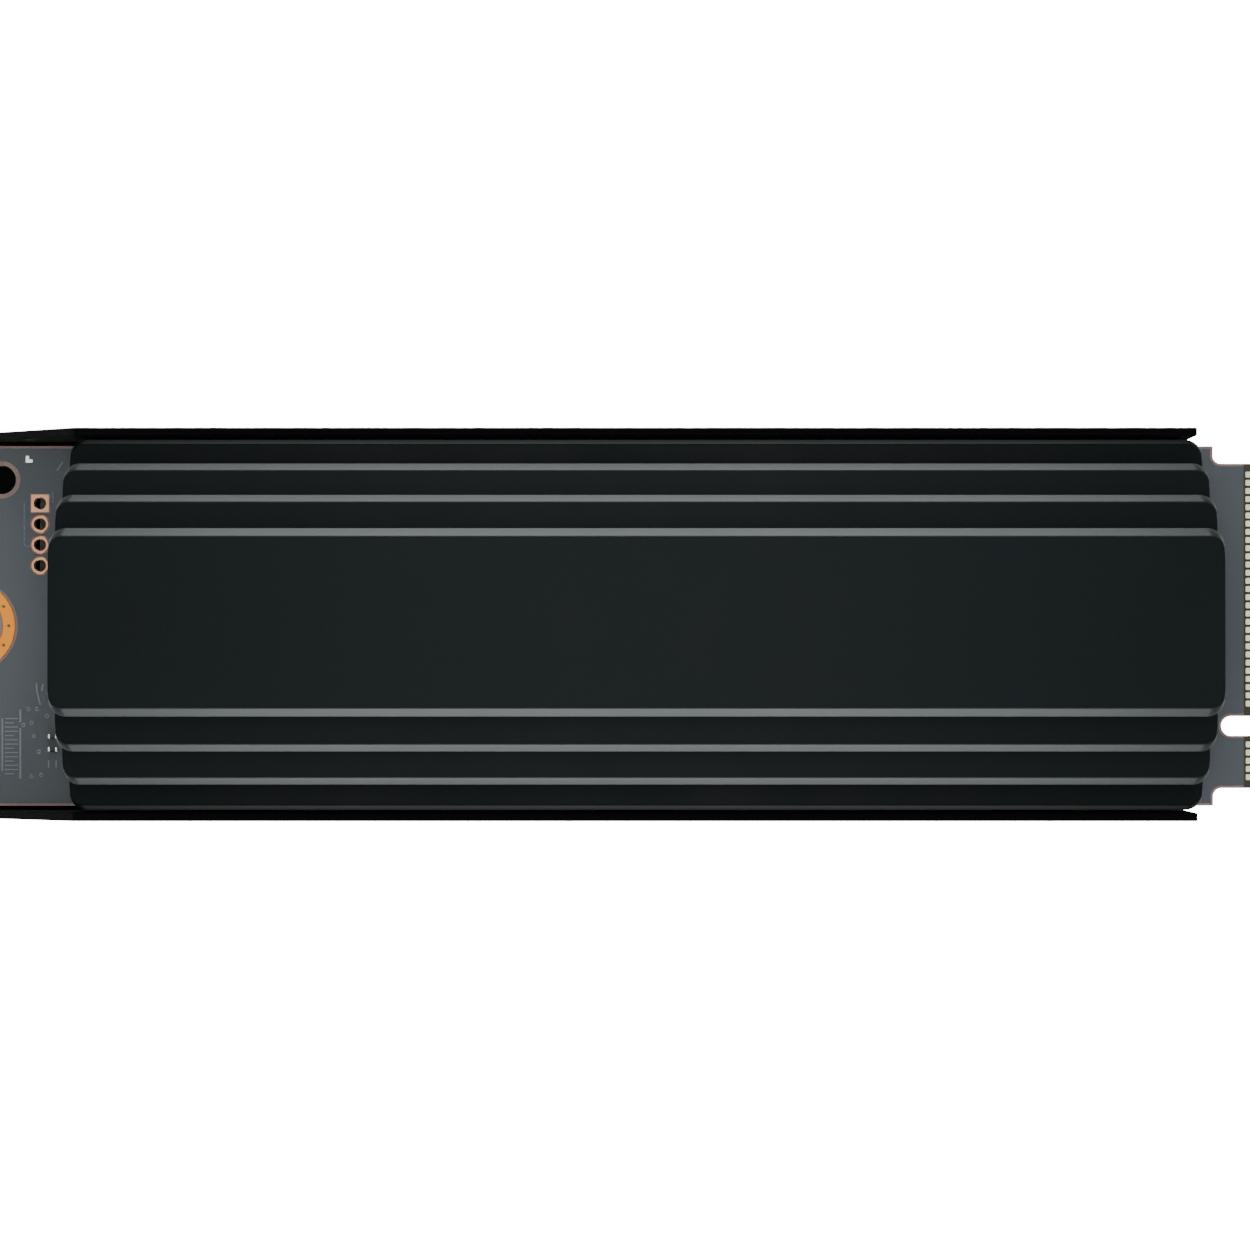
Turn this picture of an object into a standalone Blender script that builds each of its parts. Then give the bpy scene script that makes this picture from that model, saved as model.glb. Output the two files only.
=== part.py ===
"""Gumstick solid state drive: an M.2 2280 card between a tall finned heatsink and a folded sheet tray.

+X points to the edge connector, +Y across the card and +Z up through the fins. The origin is on the
tray's underside, below the middle of the card. Lengths are written in millimetres times MM, so the
scene is in metres.
"""

from math import acos, cos, pi, radians, sin, tan

import bmesh
import bpy
from mathutils import Vector

MM = 0.001

# Card outline, an 80 mm keyed card
card_length = 80.0 * MM
card_width = 22.0 * MM
card_thickness = 0.8 * MM
card_corner_radius = 0.3 * MM
tongue_length = 4.0 * MM
shoulder_step = 1.075 * MM
tongue_lead_in = 0.2 * MM
shoulder_radius = 0.5 * MM
key_width = 1.2 * MM
key_depth = 3.5 * MM
key_offset = -6.125 * MM

# Plating that stands proud of the card
plating_height = 0.05 * MM
contact_pitch = 0.5 * MM
contact_width = 0.35 * MM
contact_edge_margin = 0.65 * MM
contact_end_gap = 0.3 * MM
upper_contact_length = 1.7 * MM
lower_contact_length = 2.2 * MM
contact_key_clearance = 0.4 * MM

# Retention ring, header holes and tooling hole
retention_radius = 1.75 * MM
ring_clearance = 0.25 * MM
ring_width = 0.75 * MM
ring_setback = 0.15 * MM
header_from_end = 4.26 * MM
header_from_edge = 3.51 * MM
header_pitch = 1.27 * MM
header_count = 4
header_hole_diameter = 0.7 * MM
header_pad_margin = 0.22 * MM
tooling_hole_diameter = 1.75 * MM
tooling_from_end = 1.9 * MM
tooling_from_edge = 2.07 * MM

# Small clearances of the stack
contact_gap = 0.02 * MM
card_side_clearance = 0.25 * MM
heatsink_side_clearance = 0.13 * MM

# Sheet tray
sheet_thickness = 0.5 * MM
bend_radius = 0.4 * MM
tray_from_connector_end = 5.8 * MM
tray_from_retention_end = 0.2 * MM
tail_length = 6.9 * MM
wall_rise_over_base = 1.8 * MM
floor_slot_clearance = 0.65 * MM

# Pressed beads that snap into the heatsink's groove
bead_count = 3
bead_spacing = 24.0 * MM
bead_length = 5.0 * MM
bead_width = 1.1 * MM
bead_depth = 0.42 * MM
bead_taper = 0.2 * MM
groove_clearance = 0.2 * MM
groove_depth = 0.6 * MM
groove_over_underside = 1.4 * MM

# Heatsink plates, from the base up
heatsink_from_connector_end = 5.3 * MM
heatsink_from_retention_end = 6.7 * MM
base_thickness = 3.6 * MM
fin_pitch = 3.9 * MM
fin_thickness = 1.3 * MM
top_fin_thickness = 1.6 * MM
lower_fin_step = 1.59 * MM
middle_fin_step = 2.01 * MM
top_fin_step = 2.07 * MM
base_chamfer = 0.25 * MM
lower_fin_chamfer = 0.4 * MM
middle_fin_chamfer = 0.41 * MM
top_fin_chamfer = 0.47 * MM
fin_underside_chamfer = 0.2 * MM
fin_corner_radius = 1.0 * MM
fin_rim_corner_radius = 0.85 * MM
spine_width = 6.0 * MM
spine_setback = 0.4 * MM
spine_fillet = 0.6 * MM

# Packages on the card
controller_size = 16.0 * MM
controller_height = 1.3 * MM
controller_lid_inset = 1.1 * MM
controller_lid_height = 0.8 * MM
controller_from_connector_end = 22.5 * MM
memory_height = 1.0 * MM
cache_length = 10.0 * MM
cache_width = 14.5 * MM
flash_length = 12.0 * MM
flash_width = 18.0 * MM
least_chip_spacing = 0.1 * MM
chips_from_retention_end = 10.7 * MM
controller_pad_thickness = 0.84 * MM
lower_pad_thickness = 0.64 * MM
pad_overhang = 0.2 * MM
lower_pad_reach = 0.2 * MM

# Power parts in one row across the card, and small parts
power_row_edge_margin = 2.0 * MM
power_row_from_controller = 3.5 * MM
power_chip_size = 4.0 * MM
power_chip_height = 0.8 * MM
inductor_count = 3
inductor_length = 2.5 * MM
inductor_width = 2.0 * MM
inductor_height = 1.0 * MM
inductor_corner = 0.3 * MM
firmware_length = 3.0 * MM
firmware_width = 2.0 * MM
firmware_height = 0.6 * MM
crystal_length = 2.0 * MM
crystal_width = 1.6 * MM
crystal_height = 0.5 * MM
crystal_lid_inset = 0.15 * MM
crystal_lid_height = 0.2 * MM
capacitor_count = 8
capacitor_length = 1.6 * MM
capacitor_width = 0.8 * MM
capacitor_height = 0.8 * MM
capacitor_pitch = 2.2 * MM
capacitor_from_power_row = 3.8 * MM
resistor_length = 0.6 * MM
resistor_width = 0.3 * MM
resistor_height = 0.24 * MM
resistor_from_end = 5.07 * MM
resistor_from_edge = 3.44 * MM
resistor_pitch = 0.8 * MM
terminal_proud = 0.02 * MM
terminal_share = 0.25

# Roundness of arcs
corner_steps = 4
hole_steps = 24
small_arc_steps = 3
smooth_angle = radians(32)

# Places worked out from the sizes, along the card
retention_end = -card_length / 2
connector_end = card_length / 2
shoulder = connector_end - tongue_length
header_place = retention_end + header_from_end
tray_low = retention_end + tray_from_retention_end
tray_high = connector_end - tray_from_connector_end
heatsink_low = retention_end + heatsink_from_retention_end
heatsink_high = connector_end - heatsink_from_connector_end
heatsink_length = heatsink_high - heatsink_low
heatsink_middle = (heatsink_low + heatsink_high) / 2
controller_centre = connector_end - controller_from_connector_end

# Places across the card
card_half = card_width / 2
tongue_half = card_half - shoulder_step
header_first_offset = card_half - header_from_edge
tooling_offset = card_half - tooling_from_edge
resistor_offset = resistor_from_edge - card_half
ring_inner_radius = retention_radius + ring_clearance
ring_outer_radius = ring_inner_radius + ring_width
header_pad_diameter = header_hole_diameter + 2 * header_pad_margin
tray_inner_half = card_half + card_side_clearance
tray_outer_half = tray_inner_half + sheet_thickness
base_half = tray_inner_half - heatsink_side_clearance
lower_fin_half = base_half - lower_fin_step
middle_fin_half = lower_fin_half - middle_fin_step
top_fin_half = middle_fin_half - top_fin_step

# Heights of the stack, from the tray's underside up
lower_pad_bottom = sheet_thickness + contact_gap
lower_pad_top = lower_pad_bottom + lower_pad_thickness
lower_chip_bottom = lower_pad_top + contact_gap
card_bottom = lower_chip_bottom + memory_height + contact_gap
card_top = card_bottom + card_thickness
upper_chip_bottom = card_top + contact_gap
controller_pad_bottom = upper_chip_bottom + controller_height + contact_gap
heatsink_bottom = controller_pad_bottom + controller_pad_thickness + contact_gap
memory_pad_bottom = upper_chip_bottom + memory_height + contact_gap
base_top = heatsink_bottom + base_thickness
wall_top = base_top + wall_rise_over_base
groove_middle = heatsink_bottom + groove_over_underside


def clear_scene():
    for old in list(bpy.data.objects):
        bpy.data.objects.remove(old, do_unlink=True)


def make_material(name, colour, roughness, metallic=0.0):
    """A Principled material of one linear colour."""
    material = bpy.data.materials.new(name)
    material.use_nodes = True
    shader = material.node_tree.nodes["Principled BSDF"]
    shader.inputs["Base Color"].default_value = (*colour, 1.0)
    shader.inputs["Roughness"].default_value = roughness
    shader.inputs["Metallic"].default_value = metallic
    material.diffuse_color = (*colour, 1.0)
    return material


def make_object(name, bm, material):
    """Turns the bmesh into a named object with smooth arcs and sharp edges."""
    bmesh.ops.recalc_face_normals(bm, faces=bm.faces)
    mesh = bpy.data.meshes.new(name)
    bm.to_mesh(mesh)
    bm.free()
    mesh.materials.append(material)
    mesh.shade_smooth()
    mesh.set_sharp_from_angle(angle=smooth_angle)
    item = bpy.data.objects.new(name, mesh)
    bpy.context.scene.collection.objects.link(item)
    return item


def make_tool(name, bm, material):
    """A guide object that only joins or cuts another one."""
    tool = make_object(name, bm, material)
    tool.hide_render = True
    tool.display_type = "WIRE"
    return tool


def combine(target, tool, operation):
    """Joins the tool to the target or cuts it out of the target."""
    modifier = target.modifiers.new(f"{operation.lower()} {tool.name}", "BOOLEAN")
    modifier.operation = operation
    modifier.solver = "EXACT"
    modifier.material_mode = "TRANSFER"
    modifier.object = tool


def arc(centre, radius, start, end, steps):
    """Points of an arc from one angle to another, both included."""
    points = []
    for step in range(steps + 1):
        angle = start + (end - start) * step / steps
        points.append(Vector((centre[0] + radius * cos(angle), centre[1] + radius * sin(angle))))
    return points


def circle(centre, radius, steps=hole_steps):
    return arc(centre, radius, 0.0, 2 * pi * (steps - 1) / steps, steps - 1)


def rounded_outline(corners, steps=corner_steps):
    """Closed outline through corners of (u, v, radius), each rounded where its radius isn't zero."""
    outline = []
    for index, (u, v, radius) in enumerate(corners):
        corner = Vector((u, v))
        if radius <= 0.0:
            outline.append(corner)
            continue
        to_last = (Vector(corners[index - 1][:2]) - corner).normalized()
        to_next = (Vector(corners[(index + 1) % len(corners)][:2]) - corner).normalized()
        half_angle = to_last.angle(to_next) / 2
        centre = corner + (to_last + to_next).normalized() * (radius / sin(half_angle))
        start = (corner + to_last * (radius / tan(half_angle)) - centre).normalized()
        end = (corner + to_next * (radius / tan(half_angle)) - centre).normalized()
        for step in range(steps + 1):
            outline.append(centre + start.slerp(end, step / steps) * radius)
    return outline


def unrounded(points):
    """Corners of no radius at the points of an arc, to stand in a longer outline."""
    return [(point.x, point.y, 0.0) for point in points]


def rectangle(centre, size_u, size_v, radius=0.0):
    """Outline of a rectangle about a centre, with rounded corners if asked."""
    half_u = size_u / 2
    half_v = size_v / 2
    u, v = centre
    return rounded_outline(
        [
            (u - half_u, v - half_v, radius),
            (u + half_u, v - half_v, radius),
            (u + half_u, v + half_v, radius),
            (u - half_u, v + half_v, radius),
        ]
    )


def add_prism(bm, outline, low, high, axis="z"):
    """Adds a closed outline, extruded from low to high along an axis, and returns its end faces."""
    places = {
        "x": lambda u, v: (low, u, v),
        "y": lambda u, v: (u, low, v),
        "z": lambda u, v: (u, v, low),
    }
    steps = {"x": (high - low, 0, 0), "y": (0, high - low, 0), "z": (0, 0, high - low)}
    start = bm.faces.new([bm.verts.new(places[axis](u, v)) for u, v in outline])
    grown = bmesh.ops.extrude_face_region(bm, geom=[start], use_keep_orig=True)
    moved = [item for item in grown["geom"] if isinstance(item, bmesh.types.BMVert)]
    bmesh.ops.translate(bm, verts=moved, vec=steps[axis])
    end = next(item for item in grown["geom"] if isinstance(item, bmesh.types.BMFace))
    return start, end


def chamfer(bm, edges, width):
    bmesh.ops.bevel(
        bm, geom=edges, offset=width, offset_type="OFFSET", segments=1, profile=0.5, affect="EDGES",
        clamp_overlap=False, material=-1,
    )


# Circuit board

def card_outline():
    """The card seen from above, with its shoulders, key notch and half round retention hole."""
    key_centre = (connector_end - key_depth + key_width / 2, key_offset)
    key_round = arc(key_centre, key_width / 2, -pi / 2, -3 * pi / 2, 2 * corner_steps)
    retention_round = arc((retention_end, 0.0), retention_radius, pi / 2, -pi / 2, hole_steps // 2)
    return rounded_outline(
        [
            (retention_end, -card_half, card_corner_radius),
            (shoulder, -card_half, card_corner_radius),
            (shoulder, -tongue_half, shoulder_radius),
            (connector_end, -tongue_half, 0.0),
            (connector_end, key_offset - key_width / 2, 0.0),
            *unrounded(key_round),
            (connector_end, key_offset + key_width / 2, 0.0),
            (connector_end, tongue_half, 0.0),
            (shoulder, tongue_half, shoulder_radius),
            (shoulder, card_half, card_corner_radius),
            (retention_end, card_half, card_corner_radius),
            *unrounded(retention_round),
        ]
    )


def retention_ring_outline():
    """Half ring about the retention hole, ending just short of the card's end."""
    centre = (retention_end, 0.0)
    outer_angle = acos(ring_setback / ring_outer_radius)
    inner_angle = acos(ring_setback / ring_inner_radius)
    outer = arc(centre, ring_outer_radius, -outer_angle, outer_angle, hole_steps // 2)
    inner = arc(centre, ring_inner_radius, inner_angle, -inner_angle, hole_steps // 2)
    return outer + inner


def add_contacts(bm, first_offset, count, length, low, high):
    """A row of edge contacts, without those that the key notch would cut."""
    end = connector_end - contact_end_gap
    for index in range(count):
        offset = first_offset - index * contact_pitch
        beside_key = abs(offset - key_offset) - key_width / 2
        if beside_key < contact_key_clearance:
            continue
        add_prism(bm, rectangle((end - length / 2, offset), length, contact_width), low, high)


def header_offsets():
    return [header_first_offset - index * header_pitch for index in range(header_count)]


def plating(material):
    """Contacts, retention ring and header pads, proud of both faces of the card."""
    bm = bmesh.new()
    low = card_bottom - plating_height
    high = card_top + plating_height
    middle = (card_bottom + card_top) / 2
    upper_count = int(2 * (tongue_half - contact_edge_margin) / contact_pitch) + 1
    lower_count = upper_count - 1
    upper_first = (upper_count - 1) * contact_pitch / 2
    lower_first = upper_first - contact_pitch / 2
    add_contacts(bm, upper_first, upper_count, upper_contact_length, middle, high)
    add_contacts(bm, lower_first, lower_count, lower_contact_length, low, middle - contact_gap)
    add_prism(bm, retention_ring_outline(), low, high)
    for index, offset in enumerate(header_offsets()):
        centre = (header_place, offset)
        if index == 0:
            pad = rectangle(centre, header_pad_diameter, header_pad_diameter)
        else:
            pad = circle(centre, header_pad_diameter / 2)
        add_prism(bm, pad, low, high)
    return make_tool("plating_tool", bm, material)


def card_holes(material):
    """Cutters for the header holes and the bare tooling hole."""
    bm = bmesh.new()
    low = card_bottom - card_thickness
    high = card_top + card_thickness
    for offset in header_offsets():
        add_prism(bm, circle((header_place, offset), header_hole_diameter / 2), low, high)
    tooling = (retention_end + tooling_from_end, tooling_offset)
    add_prism(bm, circle(tooling, tooling_hole_diameter / 2), low, high)
    return make_tool("card_hole_tool", bm, material)


def circuit_board(mask, gold):
    bm = bmesh.new()
    add_prism(bm, card_outline(), card_bottom, card_top)
    lead_in = [edge for edge in bm.edges if on_connector_edge(edge)]
    chamfer(bm, lead_in, tongue_lead_in)
    board = make_object("circuit_board", bm, mask)
    combine(board, plating(gold), "UNION")
    combine(board, card_holes(mask), "DIFFERENCE")


def on_connector_edge(edge):
    """True for the long edges of the tongue's end face."""
    first, second = (vert.co for vert in edge.verts)
    near_end = min(first.x, second.x) > connector_end - contact_gap / 2
    return near_end and abs(first.z - second.z) < contact_gap / 2


# Heatsink

def add_loft(bm, sections):
    """Adds a closed body through level outlines of (outline, height), all with as many points."""
    rings = []
    for outline, height in sections:
        verts = [bm.verts.new((u, v, height)) for u, v in outline]
        rings.append([bm.edges.new((verts[index - 1], vert)) for index, vert in enumerate(verts)])
    for lower, upper in zip(rings, rings[1:]):
        bmesh.ops.bridge_loops(bm, edges=lower + upper)
    for ring in (rings[0], rings[-1]):
        bmesh.ops.contextual_create(bm, geom=ring)


def plate_outline(half_width, radius):
    return rectangle((heatsink_middle, 0.0), heatsink_length, 2 * half_width, radius)


def add_plate(bm, half_width, low, high, upper_chamfer, lower_chamfer):
    """One horizontal plate with round corners, chamfered along its sides and square at its ends.

    Each chamfer runs out to nothing round the corners.
    """
    rim = plate_outline(half_width, fin_corner_radius)
    lower_rim = plate_outline(half_width - lower_chamfer, fin_rim_corner_radius)
    upper_rim = plate_outline(half_width - upper_chamfer, fin_rim_corner_radius)
    add_loft(
        bm,
        [
            (lower_rim, low),
            (rim, low + lower_chamfer),
            (rim, high - upper_chamfer),
            (upper_rim, high),
        ],
    )


def fin_heights():
    """Underside and top of each plate above the base."""
    heights = []
    for level in (1, 2, 3):
        top = base_top + level * fin_pitch
        thickness = top_fin_thickness if level == 3 else fin_thickness
        heights.append((top - thickness, top))
    return heights


def fin_plates(material):
    """The three plates above the base."""
    bm = bmesh.new()
    half_widths = (lower_fin_half, middle_fin_half, top_fin_half)
    chamfers = (lower_fin_chamfer, middle_fin_chamfer, top_fin_chamfer)
    for (low, high), half_width, rim in zip(fin_heights(), half_widths, chamfers):
        add_plate(bm, half_width, low, high, rim, fin_underside_chamfer)
    return make_tool("fin_plate_tool", bm, material)


def spine_side():
    """One side of the spine's section, going up, with a fillet at each plate that it meets."""
    narrow = spine_width / 2
    wide = narrow + spine_fillet
    points = [Vector((wide, base_top - fin_thickness / 2))]
    gap_low = base_top
    for low, high in fin_heights():
        lower_centre = (wide, gap_low + spine_fillet)
        upper_centre = (wide, low - spine_fillet)
        points += arc(lower_centre, spine_fillet, 3 * pi / 2, pi, small_arc_steps)
        points += arc(upper_centre, spine_fillet, pi, pi / 2, small_arc_steps)
        gap_low = high
    points.append(Vector((wide, low + top_fin_thickness / 2)))
    return points


def spine(material):
    bm = bmesh.new()
    right = spine_side()
    left = [Vector((-point.x, point.y)) for point in reversed(right)]
    add_prism(bm, right + left, heatsink_low + spine_setback, heatsink_high - spine_setback, "x")
    return make_tool("spine_tool", bm, material)


def groove_cutters(material):
    """Grooves along both flanks of the base, open at their ends."""
    bm = bmesh.new()
    height = bead_width + 2 * groove_clearance
    for side in (-1, 1):
        centre = (side * base_half, groove_middle)
        outline = rectangle(centre, 2 * groove_depth, height)
        add_prism(bm, outline, heatsink_low - groove_depth, heatsink_high + groove_depth, "x")
    return make_tool("groove_tool", bm, material)


def heatsink(black_aluminium):
    bm = bmesh.new()
    add_plate(bm, base_half, heatsink_bottom, base_top, base_chamfer, base_chamfer)
    sink = make_object("heatsink", bm, black_aluminium)
    combine(sink, fin_plates(black_aluminium), "UNION")
    combine(sink, spine(black_aluminium), "UNION")
    combine(sink, groove_cutters(black_aluminium), "DIFFERENCE")


# Tray

def tray_section():
    """The folded sheet's section: floor and two walls with bends."""
    outer_bend = bend_radius + sheet_thickness
    return rounded_outline(
        [
            (-tray_outer_half, wall_top, 0.0),
            (-tray_outer_half, 0.0, outer_bend),
            (tray_outer_half, 0.0, outer_bend),
            (tray_outer_half, wall_top, 0.0),
            (tray_inner_half, wall_top, 0.0),
            (tray_inner_half, sheet_thickness, bend_radius),
            (-tray_inner_half, sheet_thickness, bend_radius),
            (-tray_inner_half, wall_top, 0.0),
        ]
    )


def tail_cutter(material):
    """Takes the walls down in a slope from their top to the card at the retention end."""
    bm = bmesh.new()
    tail_start = tray_low + tail_length
    slope = (wall_top - card_top) / tail_length
    over = 2 * sheet_thickness
    outline = [
        Vector((tray_low - over, card_top - slope * over)),
        Vector((tail_start + over, wall_top + slope * over)),
        Vector((tray_low - over, wall_top + slope * over)),
    ]
    add_prism(bm, outline, -tray_outer_half - over, tray_outer_half + over, "y")
    return make_tool("tail_tool", bm, material)


def floor_slot(material):
    """Room in the floor for the post that carries the card's retention end."""
    bm = bmesh.new()
    centre = (retention_end, 0.0)
    radius = ring_outer_radius + floor_slot_clearance
    add_prism(bm, circle(centre, radius), -sheet_thickness, 2 * sheet_thickness)
    return make_tool("floor_slot_tool", bm, material)


def add_bead(bm, place, base, tip):
    """A long tapered bead on a wall, from its base to its tip along Y."""
    outline = rectangle((place, groove_middle), bead_length, bead_width, bead_width / 2.01)
    start, end = add_prism(bm, outline, base, tip, "y")
    for vert in end.verts:
        inward = Vector((place - vert.co.x, 0.0, groove_middle - vert.co.z))
        vert.co += inward.normalized() * bead_taper


def bead_places():
    middle = (tray_low + tail_length + tray_high) / 2
    first = middle - bead_spacing * (bead_count - 1) / 2
    return [first + index * bead_spacing for index in range(bead_count)]


def beads(name, material, base, tip):
    bm = bmesh.new()
    for place in bead_places():
        for side in (-1, 1):
            add_bead(bm, place, side * base, side * tip)
    return make_tool(name, bm, material)


def tray(black_sheet):
    bm = bmesh.new()
    add_prism(bm, tray_section(), tray_low, tray_high, "x")
    sheet = make_object("tray", bm, black_sheet)
    combine(sheet, tail_cutter(black_sheet), "DIFFERENCE")
    combine(sheet, floor_slot(black_sheet), "DIFFERENCE")
    ridge_base = tray_inner_half + sheet_thickness / 4
    ridges = beads("bead_ridge_tool", black_sheet, ridge_base, tray_inner_half - bead_depth)
    hollow_base = tray_outer_half + sheet_thickness / 4
    hollows = beads("bead_hollow_tool", black_sheet, hollow_base, tray_outer_half - bead_depth)
    combine(sheet, ridges, "UNION")
    combine(sheet, hollows, "DIFFERENCE")


# Packages

def block(name, centre, size_u, size_v, low, high, material, radius=0.0):
    bm = bmesh.new()
    add_prism(bm, rectangle(centre, size_u, size_v, radius), low, high)
    return make_object(name, bm, material)


def lidded_package(name, centre, size_u, size_v, height, lid_inset, lid_height, materials):
    """A package on the card's upper face whose lid stands on a wider substrate."""
    bm = bmesh.new()
    lid_bottom = upper_chip_bottom + height - lid_height
    outline = rectangle(centre, size_u, size_v)
    start, top = add_prism(bm, outline, upper_chip_bottom, lid_bottom)
    bmesh.ops.recalc_face_normals(bm, faces=bm.faces)
    bmesh.ops.inset_region(bm, faces=[top], thickness=lid_inset, use_even_offset=True)
    grown = bmesh.ops.extrude_face_region(bm, geom=[top])
    raised = [item for item in grown["geom"] if isinstance(item, bmesh.types.BMVert)]
    bmesh.ops.translate(bm, verts=raised, vec=(0.0, 0.0, lid_height))
    bmesh.ops.delete(bm, geom=[top], context="FACES_ONLY")
    package = make_object(name, bm, materials[0])
    package.data.materials.append(materials[1])
    for face in package.data.polygons:
        if face.center.z > lid_bottom + contact_gap:
            face.material_index = 1
    return package


def memory_places():
    """Kind, centre, length and width of each memory package along one face of the card.

    A cache package comes first beside the controller, then as many flash packages as fit, evenly spaced.
    """
    high = controller_centre - controller_size / 2
    room = high - retention_end - chips_from_retention_end - cache_length
    flash_count = int(room / (flash_length + least_chip_spacing))
    spacing = (room - flash_count * flash_length) / (flash_count + 1)
    cache_centre = high - spacing - cache_length / 2
    places = [("cache", cache_centre, cache_length, cache_width)]
    high = cache_centre - cache_length / 2
    for _ in range(flash_count):
        centre = high - spacing - flash_length / 2
        places.append(("flash", centre, flash_length, flash_width))
        high = centre - flash_length / 2
    return places


def memory_chips(moulding):
    """Cache and flash packages, one set on each face of the card."""
    upper = (upper_chip_bottom, upper_chip_bottom + memory_height)
    lower = (lower_chip_bottom, lower_chip_bottom + memory_height)
    flash_number = 1
    for side, (low, high) in (("top", upper), ("bottom", lower)):
        for kind, centre, length, width in memory_places():
            if kind == "cache":
                name = f"cache_chip_{side}"
            else:
                name = f"flash_chip_{flash_number}"
                flash_number += 1
            block(name, (centre, 0.0), length, width, low, high, moulding)


def thermal_pads(pad_grey):
    """Soft pads that carry the chips' heat to the heatsink and the tray."""
    places = memory_places()
    memory_low = places[-1][1] - places[-1][2] / 2 - pad_overhang
    memory_high = places[0][1] + places[0][2] / 2 + pad_overhang
    memory_middle = (memory_low + memory_high) / 2
    memory_length = memory_high - memory_low
    pad_width = flash_width + 2 * pad_overhang
    upper_pad_top = heatsink_bottom - contact_gap
    block(
        "memory_pad", (memory_middle, 0.0), memory_length, pad_width,
        memory_pad_bottom, upper_pad_top, pad_grey,
    )
    block(
        "controller_pad", (controller_centre, 0.0), controller_size, controller_size,
        controller_pad_bottom, upper_pad_top, pad_grey,
    )
    lower_low = header_place - lower_pad_reach
    block(
        "lower_pad", ((lower_low + memory_high) / 2, 0.0), memory_high - lower_low, pad_width,
        lower_pad_bottom, lower_pad_top, pad_grey,
    )


def end_cap_section(length, height, low):
    """Side view of a chip with a slightly taller cap at each end."""
    half = length / 2
    cap = length * terminal_share
    top = low + height
    dip = top - terminal_proud
    return [
        Vector((-half, low)),
        Vector((half, low)),
        Vector((half, top)),
        Vector((half - cap, top)),
        Vector((half - cap, dip)),
        Vector((cap - half, dip)),
        Vector((cap - half, top)),
        Vector((-half, top)),
    ]


def two_ended_chip(name, centre, size, materials, along="x"):
    """A ceramic chip with a metal cap at each end, lying along X or Y on the card's upper face."""
    length, width, height = size
    bm = bmesh.new()
    u, v = centre
    if along == "x":
        middle, across, axis = u, v, "y"
    else:
        middle, across, axis = v, u, "x"
    section = [
        Vector((point.x + middle, point.y))
        for point in end_cap_section(length, height, upper_chip_bottom)
    ]
    add_prism(bm, section, across - width / 2, across + width / 2, axis)
    chip = make_object(name, bm, materials[0])
    chip.data.materials.append(materials[1])
    place_index = 0 if along == "x" else 1
    cap_line = length / 2 - length * terminal_share / 2
    for face in chip.data.polygons:
        if abs(face.center[place_index] - middle) >= cap_line:
            face.material_index = 1
    return chip


def power_row():
    """Middles of the parts in the row across the card, spaced evenly between its edges."""
    widths = [power_chip_size] + [inductor_width] * inductor_count + [firmware_width, crystal_width]
    room = card_width - 2 * power_row_edge_margin
    spacing = (room - sum(widths)) / (len(widths) - 1)
    edge = card_half - power_row_edge_margin
    middles = []
    for width in widths:
        middles.append(edge - width / 2)
        edge -= width + spacing
    return middles


def power_parts(moulding, ferrite, ceramic, tin):
    """Power chip, inductors, firmware memory, crystal and capacitors, between controller and shoulder."""
    row = controller_centre + controller_size / 2 + power_row_from_controller
    power_middle, *inductor_middles, firmware_middle, crystal_middle = power_row()
    block(
        "power_chip", (row, power_middle), power_chip_size, power_chip_size,
        upper_chip_bottom, upper_chip_bottom + power_chip_height, moulding,
    )
    for number, middle in enumerate(inductor_middles, 1):
        block(
            f"inductor_{number}", (row, middle), inductor_length, inductor_width,
            upper_chip_bottom, upper_chip_bottom + inductor_height, ferrite, inductor_corner,
        )
    block(
        "firmware_chip", (row, firmware_middle), firmware_length, firmware_width,
        upper_chip_bottom, upper_chip_bottom + firmware_height, moulding,
    )
    lidded_package(
        "crystal", (row, crystal_middle), crystal_length, crystal_width, crystal_height,
        crystal_lid_inset, crystal_lid_height, (ceramic, tin),
    )
    capacitors(row + capacitor_from_power_row, ceramic, tin)


def capacitors(place, ceramic, tin):
    """A line of ceramic capacitors across the card beside the connector."""
    size = (capacitor_length, capacitor_width, capacitor_height)
    first = (capacitor_count - 1) * capacitor_pitch / 2
    for index in range(capacitor_count):
        centre = (place, first - index * capacitor_pitch)
        two_ended_chip(f"capacitor_{index + 1}", centre, size, (ceramic, tin), along="y")


def resistors(black_glaze, tin):
    """Two tiny chips beside the header holes, in view past the heatsink's end."""
    size = (resistor_length, resistor_width, resistor_height)
    for index in range(2):
        centre = (retention_end + resistor_from_end, resistor_offset + index * resistor_pitch)
        two_ended_chip(f"chip_resistor_{index + 1}", centre, size, (black_glaze, tin))


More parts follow.
